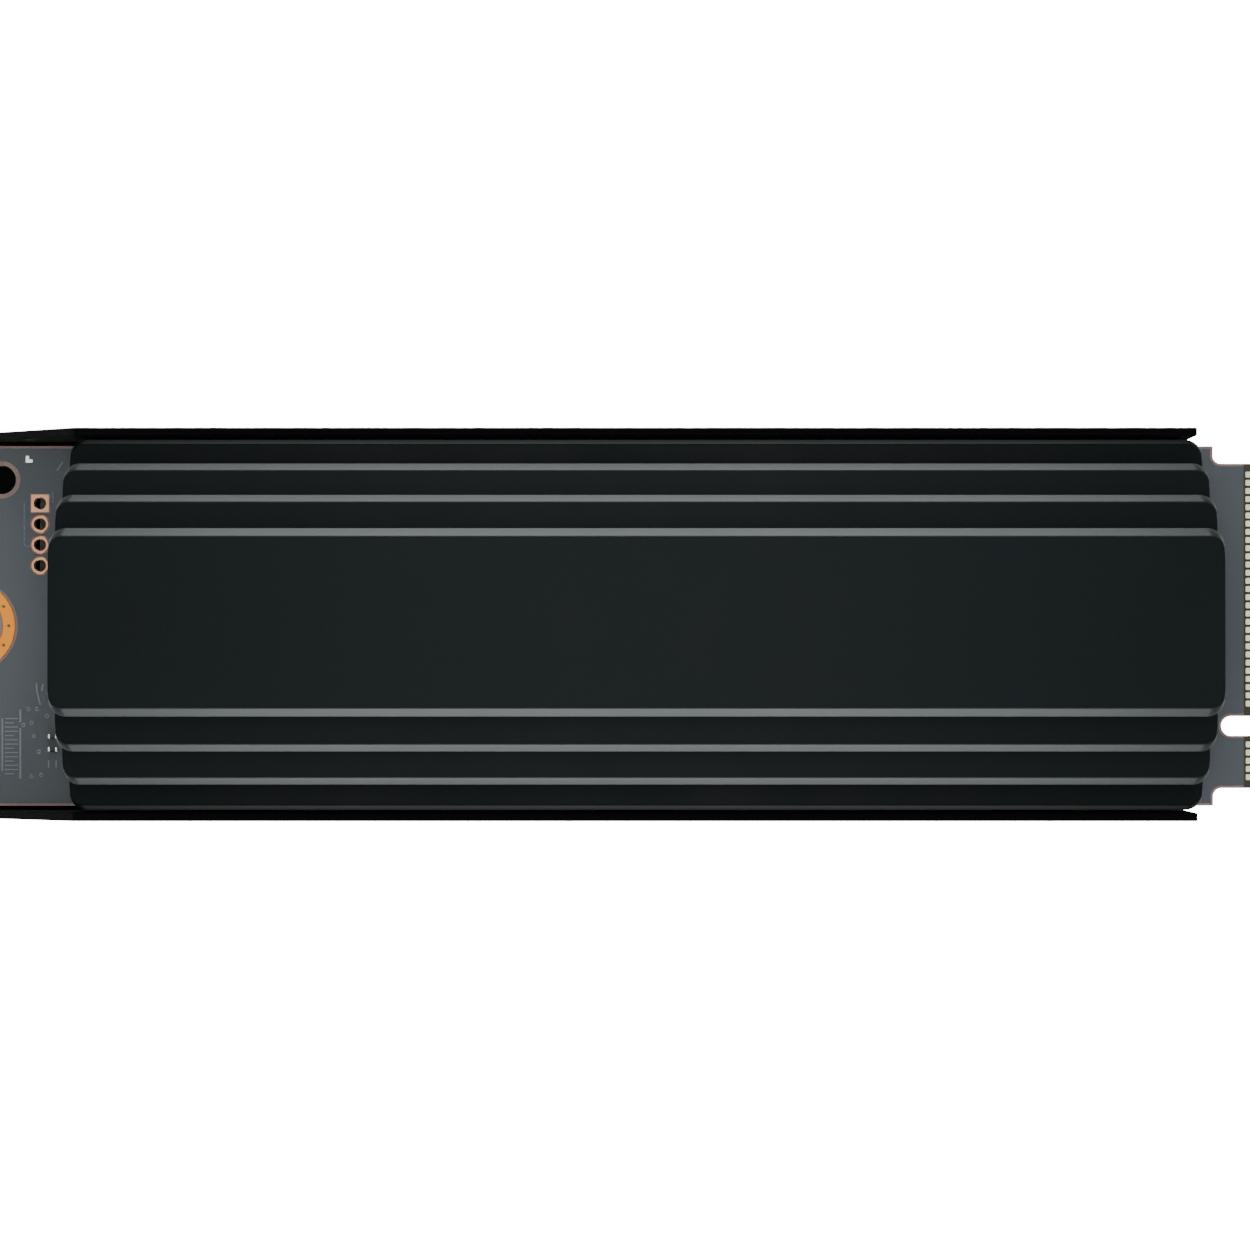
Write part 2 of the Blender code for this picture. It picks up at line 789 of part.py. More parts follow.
def main():
    clear_scene()
    mask = make_material("grey black solder mask", (0.085, 0.1, 0.11), 0.45)
    gold = make_material("gold plating", (0.85, 0.55, 0.2), 0.25, 1.0)
    black_aluminium = make_material("black anodised aluminium", (0.012, 0.014, 0.015), 0.4, 0.6)
    black_sheet = make_material("black coated sheet", (0.008, 0.008, 0.009), 0.5, 0.2)
    moulding = make_material("black epoxy moulding", (0.02, 0.02, 0.022), 0.5)
    substrate = make_material("green laminate substrate", (0.03, 0.12, 0.07), 0.5)
    lid_metal = make_material("nickel plated lid", (0.55, 0.54, 0.5), 0.3, 1.0)
    pad_grey = make_material("grey silicone pad", (0.28, 0.31, 0.31), 0.8)
    ferrite = make_material("dark ferrite", (0.05, 0.05, 0.055), 0.55)
    ceramic = make_material("tan ceramic", (0.42, 0.28, 0.17), 0.4)
    black_glaze = make_material("black resistor glaze", (0.02, 0.02, 0.02), 0.3)
    tin = make_material("tin plating", (0.75, 0.74, 0.72), 0.25, 1.0)

    circuit_board(mask, gold)
    heatsink(black_aluminium)
    tray(black_sheet)
    lidded_package(
        "controller", (controller_centre, 0.0), controller_size, controller_size,
        controller_height, controller_lid_inset, controller_lid_height, (substrate, lid_metal),
    )
    memory_chips(moulding)
    thermal_pads(pad_grey)
    power_parts(moulding, ferrite, ceramic, tin)
    resistors(black_glaze, tin)


main()
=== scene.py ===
"""The finished looks of a gumstick solid state drive.

A keyed card lies in a folded sheet tray, under a heatsink of stacked plates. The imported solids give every
place, and the pieces made here carry the fine edges, the card's layers, its plating and its print.
"""

from math import atan, pi, radians

import bmesh
import bpy
from bpy.props import FloatProperty, FloatVectorProperty, IntProperty, PointerProperty
from mathutils import Matrix, Vector


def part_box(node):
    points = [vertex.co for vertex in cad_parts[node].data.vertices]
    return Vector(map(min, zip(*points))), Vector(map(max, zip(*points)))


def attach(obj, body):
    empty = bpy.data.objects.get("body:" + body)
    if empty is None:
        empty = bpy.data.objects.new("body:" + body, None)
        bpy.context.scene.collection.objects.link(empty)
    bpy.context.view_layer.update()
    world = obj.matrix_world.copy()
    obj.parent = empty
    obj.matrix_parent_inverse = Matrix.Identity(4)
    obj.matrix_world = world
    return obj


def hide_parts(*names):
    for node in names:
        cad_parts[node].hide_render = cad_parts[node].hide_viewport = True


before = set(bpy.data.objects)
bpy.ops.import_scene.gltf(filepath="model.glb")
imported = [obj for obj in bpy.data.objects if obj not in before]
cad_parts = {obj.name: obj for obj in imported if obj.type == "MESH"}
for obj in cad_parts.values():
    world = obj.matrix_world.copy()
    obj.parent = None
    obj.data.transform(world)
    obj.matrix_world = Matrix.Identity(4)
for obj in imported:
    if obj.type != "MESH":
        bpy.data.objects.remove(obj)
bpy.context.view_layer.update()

bl_info = {
    "name": "Gumstick drive",
    "version": (1, 0, 0),
    "blender": (4, 5, 0),
    "location": "3D View > Sidebar > Drive",
    "description": "Builds a gumstick solid state drive with its heatsink, tray and studio",
    "category": "Object",
}

MM = 0.001
CARD_LOW, CARD_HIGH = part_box("circuit_board")
SINK_LOW, SINK_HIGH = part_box("heatsink")
TRAY_LOW, TRAY_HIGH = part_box("tray")

ARC_STEPS = 10
HOLE_STEPS = 48
SMALL_HOLE_STEPS = 20
SMOOTH_ANGLE = radians(35)
MERGE_DISTANCE = 0.0002 * MM
NEARLY_ALL = 0.999
ALONG_X, ALONG_Y, ALONG_Z = range(3)


# Settings

def linear(hex_code):
    """An sRGB colour such as "7d8080" as linear red, green and blue."""
    channels = [int(hex_code[place:place + 2], 16) / 255 for place in (0, 2, 4)]
    return tuple(
        value / 12.92 if value <= 0.04045 else ((value + 0.055) / 1.055) ** 2.4 for value in channels
    )


def size_setting(name, description, millimetres):
    return FloatProperty(
        name=name, description=description, default=millimetres * MM, precision=6,
        subtype="DISTANCE", unit="LENGTH",
    )


def colour_setting(name, description, hex_code):
    return FloatVectorProperty(
        name=name, description=description, default=linear(hex_code), size=3, min=0.0, max=1.0,
        subtype="COLOR",
    )


class HeatsinkSettings(bpy.types.PropertyGroup):
    """Sizes of the stacked plates."""

    base_thickness: size_setting("Base", "Thickness of the lowest plate", 3.6)
    fin_pitch: size_setting("Plate pitch", "Rise from one plate's top to the next", 3.9)
    fin_thickness: size_setting("Plate", "Thickness of the two middle plates", 1.3)
    top_thickness: size_setting("Top plate", "Thickness of the highest plate", 1.6)
    lower_step: size_setting("Lower step", "Step in from the base to the plate above it", 1.59)
    middle_step: size_setting("Middle step", "Step in from that plate to the next", 2.01)
    top_step: size_setting("Top step", "Step in to the top plate", 2.07)
    base_chamfer: size_setting("Base chamfer", "Chamfer along the base's sides", 0.25)
    lower_chamfer: size_setting("Lower chamfer", "Chamfer along the second plate's sides", 0.4)
    middle_chamfer: size_setting("Middle chamfer", "Chamfer along the third plate's sides", 0.41)
    top_chamfer: size_setting("Top chamfer", "Chamfer along the top plate's sides", 0.47)
    underside_chamfer: size_setting("Underside chamfer", "Chamfer under each plate", 0.2)
    corner_radius: size_setting("Corner", "Radius of each plate's corners", 1.0)
    rim_corner_radius: size_setting("Rim corner", "Corner radius inside the chamfer", 0.85)
    outer_round: size_setting("Outer rounding", "Rounding of each plate's outer rims", 0.02)
    inner_round: size_setting("Inner rounding", "Rounding where a chamfer meets a top", 0.1)
    spine_width: size_setting("Spine", "Width of the wall that joins the plates", 6.0)
    spine_setback: size_setting("Spine setback", "How far the spine stops short of the ends", 0.4)
    spine_fillet: size_setting("Spine fillet", "Radius where the spine meets a plate", 0.6)
    groove_height: size_setting("Groove", "Height of the groove along the base", 1.5)
    groove_depth: size_setting("Groove depth", "Depth of that groove", 0.6)
    groove_rise: size_setting("Groove rise", "Middle of the groove over the underside", 1.4)
    groove_round: size_setting("Groove rounding", "Rounding of the groove's edges", 0.15)


class TraySettings(bpy.types.PropertyGroup):
    """Sizes of the folded sheet."""

    thickness: size_setting("Sheet", "Thickness of the sheet", 0.5)
    bend_radius: size_setting("Bend", "Inner radius of the two bends", 0.4)
    tail_length: size_setting("Tail", "Length of the sloping tails", 6.9)
    tail_drop: size_setting("Tail drop", "How far the tails' ends lie under the plating's top", 0.05)
    slot_radius: size_setting("Slot", "Radius of the half round slot in the floor", 3.4)
    edge_round: size_setting("Edge rounding", "Rounding of the cut edges", 0.06)
    bead_count: IntProperty(name="Beads", description="Pressed beads in each wall", default=3)
    bead_spacing: size_setting("Bead spacing", "From one bead to the next", 24.0)
    bead_length: size_setting("Bead length", "Length of a bead", 5.0)
    bead_width: size_setting("Bead width", "Width of a bead", 1.1)
    bead_depth: size_setting("Bead depth", "How far a bead is pressed in", 0.42)
    bead_taper: size_setting("Bead taper", "How much a bead's tip is smaller all round", 0.2)
    bead_height: size_setting("Bead height", "Middle of the beads over the tray's underside", 6.6)


class CardSettings(bpy.types.PropertyGroup):
    """Sizes of the card, its mask and its plating."""

    thickness: size_setting("Card", "Thickness between the faces of the mask", 0.8)
    mask_thickness: size_setting("Mask", "Thickness of the solder mask", 0.02)
    mask_margin: size_setting("Mask margin", "Bare strip along the card's edges", 0.16)
    corner_radius: size_setting("Corner", "Radius of the card's corners", 0.3)
    edge_round: size_setting("Edge rounding", "Rounding of the routed edges", 0.05)
    tongue_length: size_setting("Tongue", "Length of the connector's tongue", 4.0)
    shoulder_step: size_setting("Shoulder", "Step from the card's side to the tongue's", 1.075)
    shoulder_radius: size_setting("Shoulder radius", "Radius in the shoulder's corner", 0.5)
    lead_in: size_setting("Lead-in", "Chamfer at the connector's end", 0.2)
    key_offset: size_setting("Key", "Middle of the key notch across the card", -6.125)
    key_width: size_setting("Key width", "Width of the key notch", 1.2)
    key_depth: size_setting("Key depth", "Depth of the key notch", 3.5)
    retention_radius: size_setting("Retention hole", "Radius of the half hole at the end", 1.75)
    ring_inner_radius: size_setting("Ring inside", "Inner radius of the gold ring", 2.0)
    ring_outer_radius: size_setting("Ring outside", "Outer radius of the gold ring", 2.75)
    ring_setback: size_setting("Ring setback", "From the card's end to the ring's ends", 0.15)
    ring_gap: size_setting("Ring gap", "Bare line round the ring", 0.15)
    stitch_radius: size_setting("Stitch radius", "Radius of the circle of stitching holes", 2.36)
    stitch_diameter: size_setting("Stitch hole", "Diameter of a stitching hole", 0.2)
    ring_edge: size_setting("Ring edge", "Easing of the gold ring's rims", 0.025)
    header_from_end: size_setting("Header", "From the card's end to the row of holes", 4.26)
    header_from_edge: size_setting("Header edge", "From the card's side to the first hole", 3.51)
    header_pitch: size_setting("Header pitch", "From one hole to the next", 1.27)
    header_count: IntProperty(name="Header holes", description="Plated holes in the row", default=4)
    header_hole: size_setting("Header hole", "Diameter inside the plating", 0.7)
    header_pad: size_setting("Header pad", "Diameter of a pad", 1.08)
    pad_gap: size_setting("Pad gap", "Bare line round a pad", 0.08)
    pad_edge: size_setting("Pad edge", "Easing of the rims of a plated hole", 0.04)
    pad_corner: size_setting("Pad corner", "Corner radius of the square pads", 0.05)
    barrel: size_setting("Barrel", "Thickness of the plating in a hole", 0.04)
    tooling_from_end: size_setting("Tooling hole", "From the card's end to the bare hole", 1.9)
    tooling_from_edge: size_setting("Tooling edge", "From the card's side to the bare hole", 2.07)
    tooling_radius: size_setting("Tooling radius", "Radius of the bare hole", 0.875)
    tooling_margin: size_setting("Tooling margin", "Bare ring round that hole", 0.28)
    plating: size_setting("Plating", "How far the plating stands over the mask", 0.05)
    contact_pitch: size_setting("Contact pitch", "From one contact to the next", 0.5)
    contact_width: size_setting("Contact", "Width of a contact", 0.35)
    contact_edge_margin: size_setting("Contact margin", "From the tongue's side to a contact", 0.65)
    contact_end_gap: size_setting("Contact gap", "From the contacts to the connector's end", 0.3)
    upper_contact: size_setting("Upper contact", "Length of a contact on the upper face", 1.7)
    lower_contact: size_setting("Lower contact", "Length of a contact on the lower face", 2.2)
    key_clearance: size_setting("Key clearance", "From the key notch to a contact's middle", 0.4)
    contact_mask_gap: size_setting("Contact mask gap", "Bare line behind the contacts", 0.12)
    contact_round: size_setting("Contact corner", "Corner radius of a contact", 0.06)


class PrintSettings(bpy.types.PropertyGroup):
    """Sizes of the relief under the mask and of the marks on it."""

    run_height: size_setting("Run", "Rise of a copper run under the mask", 0.02)
    run_lift: size_setting("Run lift", "Step that keeps crossing runs from lying level", 0.001)
    comb_start: size_setting("Comb", "From the card's end to the comb of short runs", 2.15)
    comb_edge: size_setting("Comb edge", "From the card's side to the comb's first run", 1.95)
    comb_pitch: size_setting("Comb pitch", "From one short run to the next", 0.26)
    comb_count: IntProperty(name="Comb runs", description="Short runs in the comb", default=14)
    comb_width: size_setting("Comb run", "Width of a short run", 0.07)
    comb_length: size_setting("Comb length", "Length of a short run", 0.75)
    comb_short: size_setting("Comb shorter", "Length of every third short run", 0.5)
    comb_height: size_setting("Comb rise", "Rise of a short run under the mask", 0.012)
    via_inside: size_setting("Via inside", "Inner radius of a via's ring", 0.04)
    via_crest: size_setting("Via crest", "Radius at which that ring is highest", 0.09)
    via_outside: size_setting("Via outside", "Outer radius of that ring", 0.15)
    via_height: size_setting("Via height", "Rise of that ring over the mask", 0.03)
    via_sunk: size_setting("Via sunk", "How far that ring's foot lies in the mask", 0.01)
    ink_height: size_setting("Ink", "Rise of the print over the mask", 0.01)
    ink_width: size_setting("Ink width", "Width of a printed line", 0.1)
    mark_from_end: size_setting("Mark", "From the card's end to the tinned angle", 3.38)
    mark_from_edge: size_setting("Mark edge", "From the card's side to the tinned angle", 1.02)
    mark_reach: size_setting("Mark reach", "Length of the angle's arms", 0.42)
    mark_arm: size_setting("Mark arm", "Width of those arms", 0.2)
    mark_round: size_setting("Mark corner", "Corner radius of the angle", 0.04)
    mark_height: size_setting("Mark height", "Rise of the angle over the mask", 0.04)


class PackageSettings(bpy.types.PropertyGroup):
    """Sizes of the packages, the small parts and the pads that their own boxes don't give."""

    resistor_cap: size_setting("Resistor cap", "Length of a resistor's caps", 0.16)
    resistor_edge: size_setting("Resistor edge", "How far those caps stand over the body", 0.018)
    capacitor_cap: size_setting("Capacitor cap", "Length of a capacitor's caps", 0.4)
    capacitor_edge: size_setting("Capacitor edge", "How far those caps stand over the body", 0.03)
    substrate: size_setting("Substrate", "Thickness of a memory package's substrate", 0.22)
    package_corner: size_setting("Package corner", "Corner radius of a memory package", 0.08)
    controller_lid: size_setting("Controller lid", "Height of the controller's lid", 0.8)
    controller_rim: size_setting("Controller rim", "From the substrate's side to the lid", 1.1)
    controller_corner: size_setting("Substrate corner", "Corner radius of that substrate", 0.1)
    lid_corner: size_setting("Lid corner", "Corner radius of that lid", 0.6)
    lid_round: size_setting("Lid rounding", "Rounding of that lid's top", 0.15)
    crystal_lid: size_setting("Crystal lid", "Height of the crystal's lid", 0.2)
    crystal_rim: size_setting("Crystal rim", "From the tub's side to the lid", 0.15)
    crystal_corner: size_setting("Crystal corner", "Corner radius of the tub and its lid", 0.12)
    small_round: size_setting("Small rounding", "Rounding of the crystal's lid and of folded feet", 0.04)
    foot_height: size_setting("Foot", "Height of an inductor's feet", 0.45)
    foot_depth: size_setting("Foot depth", "How far those feet stand out", 0.05)
    foot_inset: size_setting("Foot inset", "From the inductor's side to a foot", 0.35)
    inductor_corner: size_setting("Inductor corner", "Corner radius of an inductor", 0.3)
    body_round: size_setting("Body rounding", "Rounding of an inductor's top and of the pads", 0.08)
    lead_proud: size_setting("Lead", "How far leads stand out of their package", 0.01)
    lead_depth: size_setting("Lead depth", "Depth of a lead", 0.15)
    lead_height: size_setting("Lead height", "Height of a lead", 0.2)
    leadless_corner: size_setting("Leadless corner", "Corner radius of a leadless package", 0.05)
    pad_corner: size_setting("Pad corner", "Corner radius of a thermal pad", 0.25)


class FinishColours(bpy.types.PropertyGroup):
    """Colours of the surfaces."""

    anodised: colour_setting("Heatsink", "Black dye in the anodised film", "0d1416")
    coated: colour_setting("Tray", "Black coating of the sheet", "040404")
    # Lighter than the mask: partly the tone of copper under mask, partly painted highlight on the runs'
    # relief
    copper_mask_with_painted_highlight: colour_setting("Copper mask and highlight", "The same mask over a copper run, lightened further as painted highlight", "787f84")
    mask: colour_setting("Solder mask", "Dark grey mask on the card", "4e5257")
    laminate: colour_setting("Laminate", "Bare glass laminate", "a0837c")
    # Painted shade: the bare laminate between and behind the contacts gets this darker colour
    laminate_in_painted_shade: colour_setting("Shaded laminate", "Laminate between the contacts, darkened as painted shade", "45402c")
    gold: colour_setting("Gold", "Gold over nickel", "f79a34")
    header: colour_setting("Header gold", "Coppery gold of the header pads", "e0a884")
    contact: colour_setting("Contact gold", "Pale hard gold of the contacts", "f4ecca")
    tin: colour_setting("Tin", "Tinned ends and solder", "e6e4de")
    ink: colour_setting("Ink", "Printed marks", "5f6a78")
    moulding: colour_setting("Moulding", "Black epoxy of the packages", "242425")
    substrate: colour_setting("Substrate", "Green substrate of the controller", "2c5a46")
    nickel: colour_setting("Nickel", "Plated lids", "c4c2ba")
    silicone: colour_setting("Pads", "Grey thermal pads", "8f9896")
    ferrite: colour_setting("Ferrite", "Pressed inductor bodies", "3e3e41")
    ceramic: colour_setting("Ceramic", "Capacitor bodies", "a5825f")
    glaze: colour_setting("Glaze", "Black resistor bodies", "1c1c1c")
    floor: colour_setting("Floor", "Plain white floor", "f4f4f4")


class StageSettings(bpy.types.PropertyGroup):
    """Camera and light."""

    camera_height: size_setting("Camera height", "Camera over the floor", 314.6)
    camera_offset: size_setting("Camera offset", "Camera across the drive", -3.7)
    aim_along: size_setting("Aim along", "Point in the frame's middle, along the drive", 0.04)
    aim_across: size_setting("Aim across", "Point in the frame's middle, across the drive", 0.05)
    view_width: size_setting("View width", "Width of the frame at the card", 76.45)
    light_colour: colour_setting("Light", "Slightly cool colour of the lights", "f8feff")
    field: size_setting("Lit field", "Half width of the lit part of the floor", 50)
    field_fade: size_setting("Field fade", "Distance in which that light fades out", 350)
    floor_glow: FloatProperty(name="Floor glow", description="Radiance of the lit floor", default=16.0)
    floor_fill: FloatProperty(name="Floor fill", description="Radiance of the floor's rest", default=1.0)
    horizon: FloatProperty(name="Horizon", description="Radiance beside the drive", default=0.7)
    end_horizon: FloatProperty(name="End horizon", description="Radiance past its ends", default=1.0)
    zenith: FloatProperty(name="Zenith", description="Radiance of the surround overhead", default=0.05)
    panel_distance: size_setting("Panel distance", "From the drive's middle to a soft panel", 100)
    panel_length: size_setting("Panel length", "Length of a panel along the drive", 84)
    panel_low: size_setting("Panel low edge", "Height of a panel's lower edge", 10)
    panel_high: size_setting("Panel high edge", "Height of a panel's upper edge", 90)
    panel_glow: FloatProperty(name="Panel glow", description="Radiance of the soft panels", default=6.2)
    rim_glow: FloatProperty(
        name="Rim glow", description="Radiance of the panels that the tray doesn't shade", default=3.2,
    )
    overhead_height: size_setting("Overhead height", "Height of the dim panel over the camera", 450)
    overhead_length: size_setting("Overhead length", "Length of that panel along the drive", 80)
    overhead_width: size_setting("Overhead width", "Width of that panel across the drive", 240)
    overhead_glow: FloatProperty(name="Overhead glow", description="Radiance of that panel", default=2.0)
    strip_height: size_setting("Strip height", "Height of the small lights over the card's ends", 30)
    strip_place: size_setting("Strip place", "From the drive's middle to a small light", 42)
    strip_width: size_setting("Strip width", "Width of a small light", 4)
    strip_length: size_setting("Strip length", "Length of a small light", 28)
    retention_glow: FloatProperty(
        name="Retention glow", description="Radiance of the light over the retention end", default=4.6,
    )
    connector_glow: FloatProperty(
        name="Connector glow", description="Radiance of the light over the connector", default=2.6,
    )


# Shapes

def add_box(bm, low, high):
    """A box between two corners."""
    low = Vector(low)
    high = Vector(high)
    verts = bmesh.ops.create_cube(bm, size=1.0)["verts"]
    bmesh.ops.scale(bm, vec=high - low, verts=verts)
    bmesh.ops.translate(bm, vec=(low + high) / 2, verts=verts)
    return verts


def add_cylinder(bm, centre, radius, low, high, steps=HOLE_STEPS):
    """An upright cylinder between two heights."""
    place = Matrix.Translation((centre[0], centre[1], (low + high) / 2))
    return bmesh.ops.create_cone(
        bm, cap_ends=True, cap_tris=False, segments=steps, radius1=radius, radius2=radius,
        depth=high - low, matrix=place,
    )["verts"]


def runs_along(edge, axis):
    """Whether an edge runs along an axis, or very nearly so."""
    span = edge.verts[0].co - edge.verts[1].co
    return abs(span[axis]) > NEARLY_ALL * span.length


def edges_along(bm, verts, axis):
    """Edges between these vertices that run along one axis."""
    inside = set(verts)
    return [
        edge for edge in bm.edges
        if edge.verts[0] in inside and edge.verts[1] in inside and runs_along(edge, axis)
    ]


def edges_at(edges, axis, place, reach=MERGE_DISTANCE):
    """Those edges whose middle lies at one place along an axis."""
    return [
        edge for edge in edges
        if abs((edge.verts[0].co[axis] + edge.verts[1].co[axis]) / 2 - place) < reach
    ]


def round_edges(bm, edges, width, steps=2):
    """Rounds edges, or chamfers them when there is one step."""
    return bmesh.ops.bevel(
        bm, geom=edges, offset=width, offset_type="OFFSET", segments=steps, profile=0.5, affect="EDGES",
        clamp_overlap=False, material=-1,
    )


def add_round_box(bm, low, high, radius, axis=ALONG_Z, steps=ARC_STEPS):
    """A box whose edges along one axis are rounded."""
    verts = add_box(bm, low, high)
    round_edges(bm, edges_along(bm, verts, axis), radius, steps)


def topped_box(low, high, corner, corner_steps, rim, rim_steps=2):
    """A box with rounded uprights and a rounded top."""
    bm = bmesh.new()
    add_round_box(bm, low, high, corner, steps=corner_steps)
    round_edges(bm, edges_at(bm.edges, ALONG_Z, high[2]), rim, rim_steps)
    return bm


def add_ring(bm, low, high, height, radius, steps=ARC_STEPS):
    """A level loop of edges round a rectangle with round corners."""
    verts = bmesh.ops.create_grid(bm, x_segments=1, y_segments=1, size=0.5)["verts"]
    bmesh.ops.scale(bm, vec=(high[0] - low[0], high[1] - low[1], 1.0), verts=verts)
    bmesh.ops.translate(bm, vec=((low[0] + high[0]) / 2, (low[1] + high[1]) / 2, height), verts=verts)
    rounded = bmesh.ops.bevel(
        bm, geom=verts, offset=radius, offset_type="OFFSET", segments=steps, profile=0.5,
        affect="VERTICES", clamp_overlap=False, material=-1,
    )
    face = rounded["verts"][0].link_faces[0]
    loop = list(face.edges)
    bmesh.ops.delete(bm, geom=[face], context="FACES_ONLY")
    return loop


def add_circle(bm, centre, radius, height):
    """A level round loop of edges."""
    place = Matrix.Translation((*centre, height))
    verts = bmesh.ops.create_circle(bm, segments=HOLE_STEPS, radius=radius, matrix=place)["verts"]
    return list(dict.fromkeys(edge for vert in verts for edge in vert.link_edges))


def add_spun(bm, centre, section, steps):
    """A closed section of radii and heights, turned right round an upright axis."""
    verts = [bm.verts.new((centre[0] + radius, centre[1], height)) for radius, height in section]
    edges = [bm.edges.new((verts[index], verts[index - 1])) for index in range(len(verts))]
    bmesh.ops.spin(
        bm, geom=verts + edges, cent=(*centre, 0.0), axis=(0.0, 0.0, 1.0), angle=2 * pi, steps=steps,
        use_merge=True,
    )


def skin_rings(bm, rings):
    """Skins loops of edges one after another. Between a square and a round one it fills a level face."""
    for lower, upper in zip(rings, rings[1:]):
        if len(lower) == len(upper):
            bmesh.ops.bridge_loops(bm, edges=lower + upper)
        else:
            bmesh.ops.triangle_fill(bm, edges=lower + upper, use_beauty=True)


def combined(base, tool, operation):
    """One bmesh joined to another or cut by it, as a new bmesh. Both given ones are used up."""
    items = []
    for source in (base, tool):
        bmesh.ops.recalc_face_normals(source, faces=source.faces)
        mesh = bpy.data.meshes.new("working shape")
        source.to_mesh(mesh)
        source.free()
        item = bpy.data.objects.new("working shape", mesh)
        bpy.context.scene.collection.objects.link(item)
        items.append(item)
    modifier = items[0].modifiers.new("working step", "BOOLEAN")
    modifier.operation = operation
    modifier.solver = "EXACT"
    modifier.object = items[1]
    result = bmesh.new()
    result.from_object(items[0], bpy.context.evaluated_depsgraph_get())
    for item in items:
        mesh = item.data
        bpy.data.objects.remove(item, do_unlink=True)
        bpy.data.meshes.remove(mesh)
    return result


def make_piece(name, bm, materials, replaced=(), choose=None):
    """Turns a bmesh into a named piece on the drive, with flat faces kept flat and arcs smooth."""
    bmesh.ops.remove_doubles(bm, verts=bm.verts, dist=MERGE_DISTANCE)
    bmesh.ops.dissolve_degenerate(bm, edges=bm.edges, dist=MERGE_DISTANCE)
    bmesh.ops.recalc_face_normals(bm, faces=bm.faces)
    if choose:
        for face in bm.faces:
            face.material_index = choose(face)
    mesh = bpy.data.meshes.new(name)
    bm.to_mesh(mesh)
    bm.free()
    for material in materials:
        mesh.materials.append(material)
    mesh.shade_smooth()
    mesh.set_sharp_from_angle(angle=SMOOTH_ANGLE)
    piece = bpy.data.objects.new(name, mesh)
    bpy.context.scene.collection.objects.link(piece)
    weighted = piece.modifiers.new("flat faces kept flat", "WEIGHTED_NORMAL")
    weighted.keep_sharp = True
    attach(piece, "root")
    if replaced:
        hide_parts(*replaced)
    return piece


# Materials

def add_node(tree, kind, values=None, links=None, **settings):
    """Adds a node with its settings and input values, and links other nodes' outputs to its inputs."""
    node = tree.nodes.new(kind)
    for name, value in settings.items():
        setattr(node, name, value)
    for name, value in (values or {}).items():
        node.inputs[name].default_value = value
    for name, (source, output) in (links or {}).items():
        tree.links.new(source.outputs[output], node.inputs[name])
    return node


def new_material(name, **values):
    """A Principled material, with its node tree, its shader and the object's own coordinates."""
    material = bpy.data.materials.new(name)
    material.use_nodes = True
    tree = material.node_tree
    shader = tree.nodes["Principled BSDF"]
    for socket, value in values.items():
        shader.inputs[socket.replace("_", " ")].default_value = value
    place = add_node(tree, "ShaderNodeTexCoord")
    return material, tree, shader, (place, "Object")


def per_size(millimetres):
    """Texture scale that gives features of a real size."""
    return 1 / (millimetres * MM)


def grain(tree, place, size, detail=2.0, roughness=0.5):
    """Noise whose blotches have a real size in millimetres."""
    return add_node(
        tree, "ShaderNodeTexNoise", {"Scale": per_size(size), "Detail": detail, "Roughness": roughness},
        {"Vector": place},
    )


def between(tree, factor, low, high):
    """Spreads a texture's middle values between two numbers."""
    return add_node(
        tree, "ShaderNodeMapRange",
        {"From Min": 0.3, "From Max": 0.7, "To Min": low, "To Max": high}, {"Value": factor},
    )


def shaded(colour, share):
    return (*[min(channel * share, 1.0) for channel in colour], 1.0)


def set_colour_by(tree, shader, factor, dark, light):
    """Colours the shader between two colours by a texture's value."""
    ramp = add_node(tree, "ShaderNodeValToRGB", links={"Fac": factor})
    ramp.color_ramp.elements[0].position = 0.3
    ramp.color_ramp.elements[0].color = dark
    ramp.color_ramp.elements[1].position = 0.7
    ramp.color_ramp.elements[1].color = light
    tree.links.new(ramp.outputs["Color"], shader.inputs["Base Color"])
    return ramp


def set_roughness_by(tree, shader, factor, low, high):
    spread = between(tree, factor, low, high)
    tree.links.new(spread.outputs["Result"], shader.inputs["Roughness"])


def set_bump_by(tree, shader, factor, depth, strength=1.0):
    """Raises the surface by a texture, to a real depth in millimetres."""
    bump = add_node(
        tree, "ShaderNodeBump", {"Strength": strength, "Distance": depth * MM}, {"Height": factor},
    )
    tree.links.new(bump.outputs["Normal"], shader.inputs["Normal"])
    return bump


def grained_material(name, colour, rough, grain_size, depth, spread=0.2, patch_size=3.0, **values):
    """A finish of fine grain over slow patches, as blasted, moulded and pressed surfaces have."""
    material, tree, shader, place = new_material(name, **values)
    fine = grain(tree, place, grain_size)
    patches = grain(tree, place, patch_size)
    set_colour_by(tree, shader, (patches, "Fac"), shaded(colour, 1 - spread), shaded(colour, 1 + spread))
    set_roughness_by(tree, shader, (patches, "Fac"), rough * 0.94, rough * 1.06)
    set_bump_by(tree, shader, (fine, "Fac"), depth)
    return material


def anodised_aluminium(colours):
    """Extruded, bead blasted and dyed: a satin black with an even sparkle of fine pits."""
    return grained_material(
        "black anodised aluminium, bead blasted", colours.anodised, rough=0.36, grain_size=0.16,
        depth=0.004, spread=0.08, patch_size=6.0, Specular_IOR_Level=0.28,
    )


def coated_sheet(colours):
    """Cathodic coated steel sheet: deep black with the faint waves of a dipped film."""
    return grained_material(
        "black coated steel sheet, dipped", colours.coated, rough=0.5, grain_size=0.5, depth=0.004,
        spread=0.1, patch_size=5.0, Specular_IOR_Level=0.06,
    )


def bands(tree, place, pitch, direction, distortion, detail=2.0):
    """Straight bands across one direction, wavering a little, at a pitch in millimetres."""
    waves_in_scale = 20
    return add_node(
        tree, "ShaderNodeTexWave",
        {"Scale": per_size(pitch) / waves_in_scale, "Distortion": distortion, "Detail": detail},
        {"Vector": place}, wave_type="BANDS", bands_direction=direction,
    )


